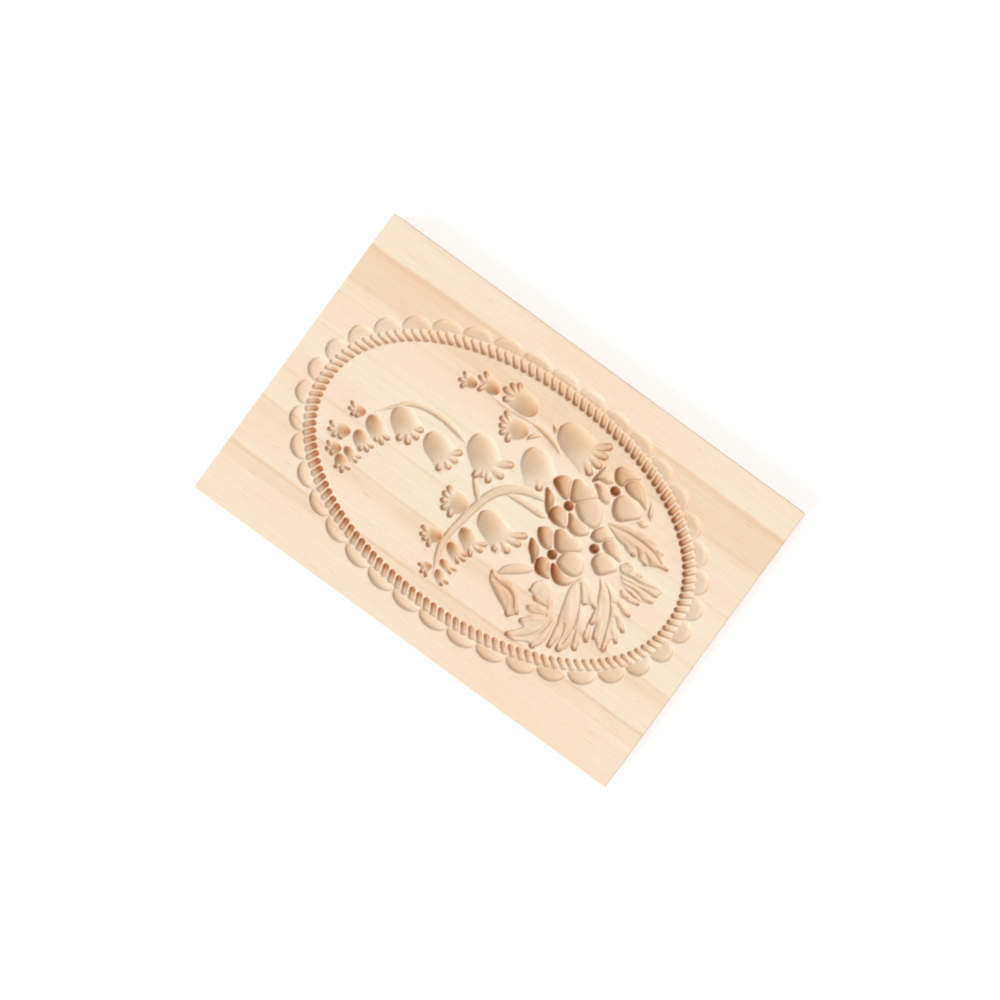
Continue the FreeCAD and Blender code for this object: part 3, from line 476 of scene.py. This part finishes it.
def oval_steps(count, stretch):
    """Even steps round the oval as it is before it is stretched in X: places and directions."""
    angle = math.pi - np.linspace(0, 2 * math.pi, 2881)
    power = 2 / OVAL_FULLNESS
    ring = np.stack([
        OVAL_HALF_LENGTH / stretch * np.sign(np.cos(angle)) * np.abs(np.cos(angle)) ** power,
        OVAL_HALF_WIDTH * np.sign(np.sin(angle)) * np.abs(np.sin(angle)) ** power], axis=1)
    run = np.concatenate([[0], np.cumsum(np.hypot(*np.diff(ring, axis=0).T))])
    steps = np.arange(count) / count * run[-1]

    def at(distance):
        return np.stack([np.interp(distance % run[-1], run, values) for values in ring.T], axis=1)

    ahead = at(steps + 0.05) - at(steps - 0.05)
    return at(steps), ahead / np.hypot(*ahead.T)[:, None]


# The shallow groove that the rope's slots lie in
GROOVE_HALF_WIDTH = 1.8
GROOVE_DEPTH = 0.4


def rope_scorch_and_shade(middle):
    """How dark a slot of the rope is painted, partly scorch and partly painted shade in the slot: darkest
    at the oval's upper right and lower left.
    """
    right = middle[0] / OVAL_HALF_LENGTH
    up = middle[1] / OVAL_HALF_WIDTH
    return 0.37 + 0.34 * right * up - 0.06 * up - 0.05 * right ** 2


def cut_rope(relief, depth, count=131, stretch=1.2, lay=65, length=4.2, slot_share=0.8):
    """Slots round the oval, slanted like the strands of a rope, in a shallow round groove."""
    steps, directions = oval_steps(count, stretch)
    middles = steps * (stretch, 1)
    lean = -math.radians(lay)
    turn = np.array([[math.cos(lean), -math.sin(lean)], [math.sin(lean), math.cos(lean)]])
    halves = np.array([OVAL_HALF_LENGTH, OVAL_HALF_WIDTH])
    for number, middle in enumerate(middles):
        inward = -middle / halves / halves
        inward /= np.hypot(*inward)
        along = (turn @ directions[number]) * (stretch, 1)
        along /= np.hypot(*along)
        ahead = middles[(number + 1) % count] - middle
        width = abs(ahead[0] * along[1] - ahead[1] * along[0]) * slot_share
        reach = along * (length - width) / 2
        slot = np.array([middle - reach, middle + reach])
        window, places = relief.window(slot, width / 2)
        gap, _ = from_path(places, slot)
        share = np.clip(gap / (width / 2), 0, 1)
        # Deepest at the inner end, and painted darkest there with scorch and shade
        rise = share_along(places, middle, inward, length / 2)
        fall = np.clip(0.88 + 0.3 * rise, 0.55, 1.1)
        scorch_and_shade = rope_scorch_and_shade(middle) * np.clip(0.8 + 0.95 * rise, 0.1, 1.4)
        relief.cut(window, depth * fall * (1 - share ** 2) ** 0.5, scorch_and_shade)
        start = middle - ahead / 2
        groove = np.array([start, start + ahead])
        window, places = relief.window(groove, GROOVE_HALF_WIDTH)
        gap, _ = from_path(places, groove)
        share = np.clip(gap / GROOVE_HALF_WIDTH, 0, 1)
        relief.cut(window, GROOVE_DEPTH * np.sqrt(1 - share ** 2))


def cut_scallops(relief, depth, count=38, stretch=1.38, start=1.9, side=5.2, end=6.2, wall=1.5):
    """Scallops outside the rope: a steep round wall outside, and a floor that rises to the rope."""
    steps, directions = oval_steps(count, stretch)
    outward = np.stack([-directions[:, 1], directions[:, 0] * stretch], axis=1)
    outward /= np.hypot(*outward.T)[:, None]
    feet = steps * (stretch, 1) + outward * start
    arc = np.linspace(0, math.pi, 25)
    for number, (foot, out) in enumerate(zip(feet, outward)):
        across = np.array([-out[1], out[0]])
        half = np.hypot(*(feet[(number + 1) % count] - feet[number - 1])) / 4
        reach = side + (end - side) * abs(out[0]) - start
        rim = np.array([
            foot + across * half * math.cos(a) * (1 - 0.1 * math.sin(a)) + out * reach * math.sin(a) ** 0.8
            for a in arc])
        window, places = relief.window(rim, 0)
        gap, _ = from_path(places, rim)
        within = depth_inside(places, rim) > 0
        # The floor is level over the outer third and rises inwards to a quarter of the depth
        rise = share_along(places, foot, out, reach)
        floor = 0.25 + 0.75 * np.clip(rise / 0.65, 0, 1) ** 0.8
        # Painted shade and scorch: those below the rope are painted darkest, most on their shaded side
        lean = share_along(places, foot + out * reach / 2, SHADED_WAY, half)
        scorch_and_shade = (0.16 - 0.13 * out[1]) * np.clip(0.8 + 0.7 * lean, 0.1, 1.6)
        relief.cut(window, within * depth * round_wall(gap, wall) * floor, scorch_and_shade)


def cut_bell(relief, closed_end, mouth, width, tips):
    """A hanging bell: a round body that flares to its mouth, and the lobes that curl there."""
    start = np.array(closed_end, dtype=float)
    stop = np.array(mouth, dtype=float)
    length = np.hypot(*(stop - start))
    along = (stop - start) / length
    across = np.array([-along[1], along[0]])
    depth = 0.09 * width + 1.0
    # Painted shade and scorch: bells 9 mm wide are painted lightest, and those of 4 mm and less darkest
    scorch_and_shade = 0.26 + 0.5 * min(max((9 - width) / 5, 0), 1)
    corners = [start, stop, start + across * width / 2, start - across * width / 2,
               stop + across * width * 0.6, stop - across * width * 0.6]
    window, places = relief.window(corners, width / 4)
    down = share_along(places, start, along, length)
    side = share_along(places, start, across, width / 2)
    # A round closed end, then a slight flare
    nose = 0.55 * width / length
    cap = np.sqrt(np.clip(1 - (1 - np.clip(down / nose, 0, 1)) ** 2, 0, 1))
    outline = cap * (0.95 + 0.12 * np.clip(down, 0, 1.1) ** 2)
    section = np.clip(1 - (side / np.maximum(outline, 1e-6)) ** 2, 0, 1) ** 0.72
    # The floor comes up towards the mouth and runs out just past it
    fall = np.clip((down - 0.35) / 0.65, 0, 1)
    run_out = (1 - 0.55 * fall ** 2 * (3 - 2 * fall)) * np.clip((1.12 - down) / 0.12, 0, 1)
    entry = 0.45 + 0.55 * np.sqrt(np.clip(down / nose, 0, 1))
    body = depth * section * entry * run_out * (down > 0)
    # Painted shade: darkest across the middle of the body and towards its closed end, fading to the mouth
    relief.cut(window, np.maximum(body, 0), scorch_and_shade * section * np.clip(1.1 - down, 0, 1))
    throat = start + (stop - start) * 0.7
    for tip in tips:
        cut_lobe(relief, throat, np.array(tip, dtype=float), 0.26 * width + 0.5, depth=1.25, scorch_and_shade=0.9)
    for tip, other in zip(tips, tips[1:]):
        notch = (np.array(tip) + np.array(other)) / 2
        root = throat + (notch - throat) * 0.5
        raise_rib(relief, [root, root + (notch - root) * 0.5, notch], width=0.4, height=0.4)


def cut_lobe(relief, throat, tip, width, depth, scorch_and_shade):
    """A lobe of a bell's rim or a leaf: a hollow that narrows and deepens to its round end."""
    reach = tip - throat
    # The round end takes up three eighths of the width
    stop = tip - reach / np.hypot(*reach) * width * 0.375
    window, (x, y) = relief.window([throat, tip], width * 0.55)
    run = stop - throat
    share = np.clip(share_along((x, y), throat, run, run @ run), 0, 1)
    gap = np.hypot(x - throat[0] - share * run[0], y - throat[1] - share * run[1])
    half = width / 2 * (1.1 - 0.35 * share)
    section = np.clip(1 - (gap / half) ** 2, 0, 1) ** 0.55
    # Only the edge near the end is painted dark, partly scorch and partly painted shade of the deep end
    edge = np.clip(gap / half, 0, 1) ** 2
    floor = 0.7 + 0.3 * share ** 2
    relief.cut(window, depth * floor * section, scorch_and_shade * (0.1 + 0.9 * share ** 4 * edge))


# Petals are cut a little wider than they are drawn, so that only thin ribs stay between them
PETAL_GROWTH = 0.25


def cut_petal(relief, outline, eye, depth, scorch_and_shade):
    """A petal: a hollow with a steep wall, leaning so that its left and near edge is deepest."""
    ring = smooth_path(outline, closed=True, steps=5)
    window, places = relief.window(ring, PETAL_GROWTH)
    wall = round_wall(depth_inside(places, ring) + PETAL_GROWTH, radius=1.5)
    middle = ring.mean(axis=0)
    outward = (middle - eye) / np.hypot(*(middle - eye))
    # 0 for a petal on the lit side of its eye, 1 for one on the shaded side, which leans most
    shaded = 0.5 + 0.5 * (outward @ SHADED_WAY)
    reach = np.hypot(*(ring - middle).T).max()
    lean = share_along(places, middle, SHADED_WAY, reach)
    level = np.minimum((0.8 + 0.22 * shaded) * (1 + (0.2 + 0.45 * shaded) * lean), 1.4)
    # Painted shade and scorch: each petal is painted darker towards its shaded side
    relief.cut(window, depth * wall * level, scorch_and_shade * np.clip(0.5 + 0.6 * lean, 0.05, 0.9))


def cut_leaf(relief, outline, depth, scorch_and_shade):
    """A leaf's shallow hollow with a soft wall."""
    ring = smooth_path(outline, closed=True, steps=4)
    window, places = relief.window(ring, 0)
    relief.cut(window, depth * round_wall(depth_inside(places, ring), radius=1.0), scorch_and_shade)


def raise_rib(relief, points, width, height):
    """Lets a thin rib stand up in a hollow, never above the face."""
    path = smooth_path(points)
    window, places = relief.window(path[:, :2], width * 2)
    gap, _ = from_path(places, path)
    depth = relief.depth[window]
    raised = np.maximum(depth - height * np.exp(-(2 * gap / width) ** 2), 0.1)
    relief.depth[window] = np.minimum(depth, raised)


def carve(sizes):
    """The whole carving, as depths on a grid over the face inside the eased edge."""
    ease = sizes.edge_ease / MM
    relief = Relief(TOP.x - ease, TOP.y - ease, sizes.grid_step / MM)
    # Each cut also paints how dark its wood is drawn, partly the cutter's scorch and partly painted shade
    # in the hollows
    cut_rope(relief, sizes.rope_depth / MM)
    cut_scallops(relief, sizes.scallop_depth / MM)
    for closed_end, mouth, width, tips in BELLS:
        cut_bell(relief, closed_end, mouth, width, tips)
    for outline, scorch_and_shade in zip(LEAVES, LEAF_SCORCH_AND_SHADE):
        cut_leaf(relief, outline, sizes.leaf_hollow / MM, scorch_and_shade)
    for stroke in FOLIAGE:
        cut_stroke(relief, stroke, sizes.leaf_depth / MM, roundness=0.8, scorch_and_shade=0.08)
    for root, tip, width in LEAF_LOBES:
        cut_lobe(relief, np.array(root), np.array(tip), width, depth=1.15, scorch_and_shade=0.9)
    for rib in RIBS:
        raise_rib(relief, rib, width=0.9, height=0.65)
    for stalk in STEMS:
        cut_stroke(relief, stalk, sizes.stalk_depth / MM, roundness=0.3, scorch_and_shade=0.16)
    cut_stroke(relief, FINE_STALK, depth=0.35, roundness=0.5, scorch_and_shade=0.12)
    for eye, petals, scorch_and_shade_levels in FLOWERS:
        for petal, scorch_and_shade in zip(petals, scorch_and_shade_levels):
            cut_petal(relief, petal, eye, sizes.petal_depth / MM, scorch_and_shade)
        cut_pit(relief, eye, radius=1.45, depth=sizes.eye_depth / MM, scorch_and_shade=0.62)
    relief.soften()
    return relief


def select_none():
    """Deselects every object, so that an operator acts on what is picked next."""
    bpy.ops.object.select_all(action="DESELECT")


# Wood this near the board's ends shows end grain
END_SKIN = 0.02


def points_of(mesh):
    """The places of a mesh's points, one row for each."""
    places = np.empty(len(mesh.vertices) * 3)
    mesh.vertices.foreach_get("co", places)
    return places.reshape(-1, 3)


def move_points(mesh, places):
    """Puts a mesh's points at new places."""
    mesh.vertices.foreach_set("co", places.ravel())
    mesh.update()


def store_cut(mesh, relief):
    """Stores for the wood's colour the cut's depth, its scorching with painted shade, and how far it meets
    end grain.
    """
    places = points_of(mesh) / MM
    x, y, z = places.T
    within = (np.abs(x) < relief.x[-1]) & (np.abs(y) < relief.y[-1]) & (z > TOP.z / 2)
    depth = np.where(within, TOP.z - z, 0)
    slope_y, slope_x = np.gradient(relief.depth, relief.x[1] - relief.x[0])
    facing = np.abs(slope_x) / np.sqrt(1 + slope_x ** 2 + slope_y ** 2)
    cells = relief.cells(places)
    end_grain = np.where(within, facing[cells], np.abs(x) > TOP.x - END_SKIN)
    scorch_and_shade = np.where(within, relief.scorch_and_shade[cells], 0)
    for name, values in (("cut_depth", depth), ("end_grain", end_grain), ("scorch_and_shade", scorch_and_shade)):
        layer = mesh.attributes.new(name, "FLOAT", "POINT")
        layer.data.foreach_set("value", values.astype(np.float32))


def ease_corners(mesh, radius):
    """Rounds the board's four upright corners."""
    places = points_of(mesh)
    flat = places[:, :2] / MM
    core = np.clip(flat, -np.array(TOP.xy) + radius, np.array(TOP.xy) - radius)
    out = flat - core
    reach = np.hypot(*out.T)
    corner = (np.abs(out) > 0).all(axis=1)
    longest = np.maximum(np.abs(out[:, 0]), np.abs(out[:, 1]))
    shrink = np.where(corner, longest / np.maximum(reach, 1e-9), 1)
    places[:, :2] = (core + out * shrink[:, None]) * MM
    move_points(mesh, places)


def add_node(tree, kind, inputs=None, **settings):
    """Adds a node, gives it settings, and sets or links its inputs."""
    node = tree.nodes.new(kind)
    for name, value in settings.items():
        setattr(node, name, value)
    for socket, value in (inputs or {}).items():
        if isinstance(value, bpy.types.NodeSocket):
            tree.links.new(value, node.inputs[socket])
        else:
            node.inputs[socket].default_value = value
    return node


def maths_node(tree, first, second, operation="ADD", use_clamp=False):
    """The sum of two values, or what another operation makes of them."""
    inputs = {0: first, 1: second}
    node = add_node(tree, "ShaderNodeMath", inputs, operation=operation, use_clamp=use_clamp)
    return node.outputs[0]


def range_node(tree, value, low, high, least=0, most=1):
    """Turns a value's range into another range, and holds it within that."""
    limits = {"From Min": low, "From Max": high, "To Min": least, "To Max": most}
    return add_node(tree, "ShaderNodeMapRange", {"Value": value, **limits}).outputs[0]


def mix_node(tree, share, first, second):
    """Mixes a share of a second colour, one of the settings, into a first."""
    inputs = {"Factor": share, 6: first, 7: (*second, 1)}
    return add_node(tree, "ShaderNodeMix", inputs, data_type="RGBA").outputs[2]


def ramp_node(tree, value, stops):
    """Turns a value into a grey by a ramp's stops, each a position and a grey."""
    node = add_node(tree, "ShaderNodeValToRGB", {"Fac": value})
    ramp = node.color_ramp
    ramp.elements.remove(ramp.elements[-1])
    for number, (position, grey) in enumerate(stops):
        spot = ramp.elements[0] if number == 0 else ramp.elements.new(position)
        spot.position = position
        spot.color = (grey, grey, grey, 1)
    return node.outputs["Color"]


# The tree's middle lay below and beside the board, so its rings slant across the end grain
PITH_Y = -150
PITH_Z = -90


def ring_reach(y, z):
    """Distance of a place in the board from the middle of the tree, in millimetres."""
    return math.hypot(y - PITH_Y, z - PITH_Z)


def pine(colours):
    """Pine, planed and sanded, unfinished: pale and dry, with soft bands and faint lines along it."""
    material = bpy.data.materials.new("sanded_pine")
    material.use_nodes = True
    tree = material.node_tree
    tree.nodes.clear()
    output = add_node(tree, "ShaderNodeOutputMaterial")
    place = add_node(tree, "ShaderNodeTexCoord").outputs["Object"]
    # One unit is a millimetre from here on
    scaled = add_node(tree, "ShaderNodeMapping", {"Vector": place, "Scale": (1 / MM, 1 / MM, 1 / MM)})
    spot = scaled.outputs["Vector"]

    # Noise drawn out along the grain: length and width of its blotches in millimetres, and detail
    noises = []
    for length, width, detail in ((90, 22, 3), (24, 0.7, 4), (70, 14, 2), (5, 0.5, 1)):
        drawn = add_node(
            tree, "ShaderNodeMapping", {"Vector": spot, "Scale": (1 / length, 1 / width, 1 / width)})
        noises.append(add_node(
            tree, "ShaderNodeTexNoise",
            {"Vector": drawn.outputs["Vector"], "Scale": 1, "Detail": detail}))
    wander, streaks, patches, dashes = noises

    # The growth rings wander up to 2.2 mm to either side along the board
    span = 4.4
    moved = add_node(
        tree, "ShaderNodeVectorMath",
        {0: wander.outputs["Color"], 1: (0, span, span), 2: spot}, operation="MULTIPLY_ADD")
    shifted = add_node(
        tree, "ShaderNodeVectorMath",
        {0: moved.outputs[0], 1: (0, -span / 2 - PITH_Y, -span / 2 - PITH_Z)}, operation="ADD")
    flat = add_node(
        tree, "ShaderNodeVectorMath", {0: shifted.outputs[0], 1: (0, 1, 1)}, operation="MULTIPLY")
    reach = add_node(tree, "ShaderNodeVectorMath", {0: flat.outputs[0]}, operation="LENGTH")
    rings = [ring_reach(y, TOP.z) for y, _ in GRAIN_TONES]
    first, last = rings[0], rings[-1]
    share = range_node(tree, reach.outputs["Value"], first, last)
    stops = [((ring - first) / (last - first), tone) for ring, (_, tone) in zip(rings, GRAIN_TONES)]
    bands = ramp_node(tree, share, stops)

    # Pinker and yellower patches, a few centimetres long
    pinker = ramp_node(tree, patches.outputs["Fac"], [(0.4, 0.0), (0.62, 1.0)])
    ground = mix_node(tree, pinker, (*colours.pale_wood, 1), colours.pink_wood)
    # Streaks half a millimetre across and a few centimetres long
    streaked = range_node(tree, streaks.outputs["Fac"], 0.3, 0.7, -0.1, 0.1)
    tone = maths_node(tree, bands, streaked)
    # Resin lines: short dashes as thin as a hair, drawn a little wider so that they show
    dashed = maths_node(
        tree, tone, ramp_node(tree, dashes.outputs["Fac"], [(0.66, 0.0), (0.74, 0.5)]), use_clamp=True)
    grained = mix_node(tree, dashed, ground, colours.dark_grain)

    # Gouged wood is duller than the planed face; mixed in more where the cut is deeper, it also paints
    # shade in the hollows
    cut = add_node(tree, "ShaderNodeAttribute", attribute_name="cut_depth")
    dull_and_shade_share = range_node(tree, cut.outputs["Fac"], 0.5, 1.7, most=0.5)
    dulled_and_shaded = mix_node(tree, dull_and_shade_share, grained, colours.gouged_wood)
    # Where the cutter scorched the wood, and where shade is painted into the hollows: golden at first,
    # then red brown
    scorch_and_shade = add_node(tree, "ShaderNodeAttribute", attribute_name="scorch_and_shade")
    golden_share = range_node(tree, scorch_and_shade.outputs["Fac"], 0, 0.6, most=0.85)
    golden = mix_node(tree, golden_share, dulled_and_shaded, colours.golden_wood)
    brown_share = range_node(tree, scorch_and_shade.outputs["Fac"], 0.4, 0.9, most=0.85)
    # Walls that cut across the grain are browner still
    ends = add_node(tree, "ShaderNodeAttribute", attribute_name="end_grain")
    end_share = range_node(tree, ends.outputs["Fac"], 0.35, 0.9, most=0.4)
    brown = maths_node(tree, brown_share, end_share, use_clamp=True)
    carved = mix_node(tree, brown, golden, colours.brown_wood)
    bump = add_node(
        tree, "ShaderNodeBump",
        {"Height": streaks.outputs["Fac"], "Strength": 0.25, "Distance": 0.05 * MM})
    surface = add_node(tree, "ShaderNodeBsdfPrincipled", {
        "Base Color": carved, "Roughness": 0.62, "IOR": 1.5, "Normal": bump.outputs["Normal"]})
    surface.inputs["Specular IOR Level"].default_value = 0.35
    tree.links.new(surface.outputs[0], output.inputs["Surface"])
    return material


# Rounding of the board's upright corners, in millimetres
CORNER_RADIUS = 0.6
# Edges sharper than this are shaded sharp
SMOOTH_ANGLE = math.radians(34)


class MOULD_OT_board(bpy.types.Operator):
    """Carves the board and gives it its wood"""

    bl_idname = "mould.board"
    bl_label = "Carved Board"
    bl_options = {"REGISTER", "UNDO"}

    def execute(self, context):
        sizes = context.scene.mould_sizes
        ease = sizes.edge_ease / MM
        relief = carve(sizes)
        select_none()
        bpy.ops.mesh.primitive_grid_add(
            x_subdivisions=relief.columns - 1, y_subdivisions=relief.rows - 1, size=2 * MM,
            enter_editmode=True, location=(0, 0, 0))
        board = context.object
        board.name = "carved_board"
        bpy.ops.transform.resize(value=(relief.x[-1], relief.y[-1], 1))
        bpy.ops.transform.translate(value=(0, 0, TOP.z * MM))
        bpy.ops.mesh.select_non_manifold(extend=False, use_boundary=True)
        self.extrude_walls(ease)
        bpy.ops.object.mode_set(mode="OBJECT")
        top_points = relief.columns * relief.rows
        self.lower_face(board.data, relief, top_points)
        ease_corners(board.data, CORNER_RADIUS)
        bpy.ops.object.mode_set(mode="EDIT")
        bpy.ops.mesh.select_all(action="SELECT")
        bpy.ops.mesh.normals_make_consistent(inside=False)
        bpy.ops.object.mode_set(mode="OBJECT")
        thin = board.modifiers.new("Thinned", "DECIMATE")
        faces = sum(len(face.vertices) - 2 for face in board.data.polygons)
        thin.ratio = sizes.triangles / faces
        bpy.ops.object.modifier_apply(modifier="Thinned")
        bpy.ops.object.shade_smooth_by_angle(angle=SMOOTH_ANGLE)
        even = board.modifiers.new("Even shading", "WEIGHTED_NORMAL")
        even.keep_sharp = True
        bpy.ops.object.modifier_apply(modifier="Even shading")
        store_cut(board.data, relief)
        board.data.materials.append(pine(context.scene.mould_colours))
        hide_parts("mould_board")
        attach(board, "root")
        return {"FINISHED"}

    def extrude_walls(self, ease):
        """Extrudes the rim of the face over the eased edge, down the walls and under."""
        steps = 3
        inset, height = ease, TOP.z
        turns = [math.pi / 2 * step / steps for step in range(1, steps + 1)]
        profile = [(ease * (1 - math.sin(turn)), TOP.z - ease * (1 - math.cos(turn))) for turn in turns]
        profile += [(ease * (1 - math.cos(turn)), ease * (1 - math.sin(turn))) for turn in [0, *turns]]
        for next_inset, next_height in profile:
            grown = (TOP.x - next_inset, TOP.y - next_inset)
            bpy.ops.mesh.extrude_region_move(
                TRANSFORM_OT_translate={"value": (0, 0, (next_height - height) * MM)})
            bpy.ops.transform.resize(
                value=(grown[0] / (TOP.x - inset), grown[1] / (TOP.y - inset), 1),
                center_override=(0, 0, 0))
            inset, height = next_inset, next_height
        bpy.ops.mesh.edge_face_add()

    def lower_face(self, mesh, relief, count):
        """Moves the face's points down by the carving's depth and leaves the walls alone."""
        places = points_of(mesh)
        face = places[:count]
        face[:, 2] -= relief.depth[relief.cells(face / MM)] * MM
        move_points(mesh, places)


# The photograph's view: straight down, with the board turned in the frame
PHOTO_WIDTH = 1000
PHOTO_CENTRE = (499.4, 500.2)
PIXELS_PER_MM = 3.4016
CAMERA_TURN = math.radians(36.17)
LENS = 120
SENSOR = 36

# The light: soft from all round, and a broad lamp from the board's near left
SKY_LIGHT = 0.5
FLOOR_GLOW = 0.5
LAMP_STRENGTH = 2.12
LAMP_SPREAD = math.radians(34)
LAMP_WAY = (0.42, 0.78, -1)


class MOULD_OT_stage(bpy.types.Operator):
    """Adds the plain floor, the soft light and the camera over the board"""

    bl_idname = "mould.stage"
    bl_label = "Stage"
    bl_options = {"REGISTER", "UNDO"}

    def execute(self, context):
        self.add_floor(context)
        self.add_lights(context)
        self.add_camera(context)
        context.scene.view_settings.view_transform = "Standard"
        return {"FINISHED"}

    def add_floor(self, context):
        """A wide plain floor that the board lies on."""
        select_none()
        bpy.ops.mesh.primitive_plane_add(size=8, location=(0, 0, 0))
        floor = context.object
        floor.name = "floor"
        material = bpy.data.materials.new("matt_floor")
        material.use_nodes = True
        tree = material.node_tree
        tree.nodes.clear()
        output = add_node(tree, "ShaderNodeOutputMaterial")
        paper = add_node(
            tree, "ShaderNodeBsdfDiffuse", {"Color": (*context.scene.mould_colours.floor, 1)})
        glow = add_node(
            tree, "ShaderNodeEmission", {"Color": (1, 1, 1, 1), "Strength": self.seen(tree, FLOOR_GLOW)})
        both = add_node(tree, "ShaderNodeAddShader", {0: paper.outputs[0], 1: glow.outputs[0]})
        tree.links.new(both.outputs[0], output.inputs["Surface"])
        floor.data.materials.append(material)

    def seen(self, tree, strength):
        """A strength for what the camera, gloss and glass see, and nothing else."""
        path = add_node(tree, "ShaderNodeLightPath")
        seen = path.outputs["Is Camera Ray"]
        for other in ("Is Glossy Ray", "Is Transmission Ray"):
            seen = maths_node(tree, seen, path.outputs[other], operation="MAXIMUM")
        return maths_node(tree, seen, strength, operation="MULTIPLY")

    def add_lights(self, context):
        """A soft sky, and a broad lamp from the board's near left."""
        world = bpy.data.worlds.new("soft_room")
        context.scene.world = world
        world.use_nodes = True
        tree = world.node_tree
        tree.nodes.clear()
        output = add_node(tree, "ShaderNodeOutputWorld")
        rest = self.seen(tree, 1 - SKY_LIGHT)
        level = maths_node(tree, rest, SKY_LIGHT)
        back = add_node(tree, "ShaderNodeBackground", {"Color": (1, 1, 1, 1), "Strength": level})
        tree.links.new(back.outputs[0], output.inputs["Surface"])
        lamp = bpy.data.lights.new("window_light", "SUN")
        lamp.energy = LAMP_STRENGTH
        lamp.angle = LAMP_SPREAD
        holder = bpy.data.objects.new("window_light", lamp)
        context.scene.collection.objects.link(holder)
        holder.rotation_euler = Vector(LAMP_WAY).to_track_quat("-Z", "Y").to_euler()

    def add_camera(self, context):
        """The camera straight above the face, turned as the photograph's is."""
        lens = bpy.data.cameras.new("camera")
        lens.lens = LENS
        lens.sensor_width = SENSOR
        camera = bpy.data.objects.new("camera", lens)
        context.scene.collection.objects.link(camera)
        distance = PHOTO_WIDTH / PIXELS_PER_MM * LENS / SENSOR
        right = (PHOTO_WIDTH / 2 - PHOTO_CENTRE[0]) / PIXELS_PER_MM
        up = (PHOTO_CENTRE[1] - PHOTO_WIDTH / 2) / PIXELS_PER_MM
        x = right * math.cos(CAMERA_TURN) - up * math.sin(CAMERA_TURN)
        y = right * math.sin(CAMERA_TURN) + up * math.cos(CAMERA_TURN)
        camera.location = Vector((x, y, TOP.z + distance)) * MM
        camera.rotation_euler = (0, 0, CAMERA_TURN)
        lens.clip_start = 0.01
        lens.clip_end = 20
        context.scene.camera = camera


class MOULD_PT_panel(bpy.types.Panel):
    """Shows the mould's sizes and colours, with buttons that build the board and the stage"""

    bl_idname = "MOULD_PT_panel"
    bl_label = "Cookie Mould"
    bl_space_type = "VIEW_3D"
    bl_region_type = "UI"
    bl_category = "Cookie Mould"

    def draw(self, context):
        layout = self.layout
        for group in (context.scene.mould_sizes, context.scene.mould_colours):
            box = layout.box()
            for name in group.bl_rna.properties.keys():
                if name not in ("rna_type", "name"):
                    box.prop(group, name)
        layout.operator(MOULD_OT_board.bl_idname)
        layout.operator(MOULD_OT_stage.bl_idname)


CLASSES = (MouldSizes, WoodColours, MOULD_OT_board, MOULD_OT_stage, MOULD_PT_panel)


def register():
    """Registers the classes and the scene's settings."""
    for kind in CLASSES:
        bpy.utils.register_class(kind)
    bpy.types.Scene.mould_sizes = PointerProperty(type=MouldSizes)
    bpy.types.Scene.mould_colours = PointerProperty(type=WoodColours)


def unregister():
    """Removes what register added."""
    del bpy.types.Scene.mould_colours
    del bpy.types.Scene.mould_sizes
    for kind in reversed(CLASSES):
        bpy.utils.unregister_class(kind)


def main():
    """Builds the mould and its stage."""
    register()
    bpy.ops.mould.board()
    bpy.ops.mould.stage()


if __name__ == "__main__":
    main()
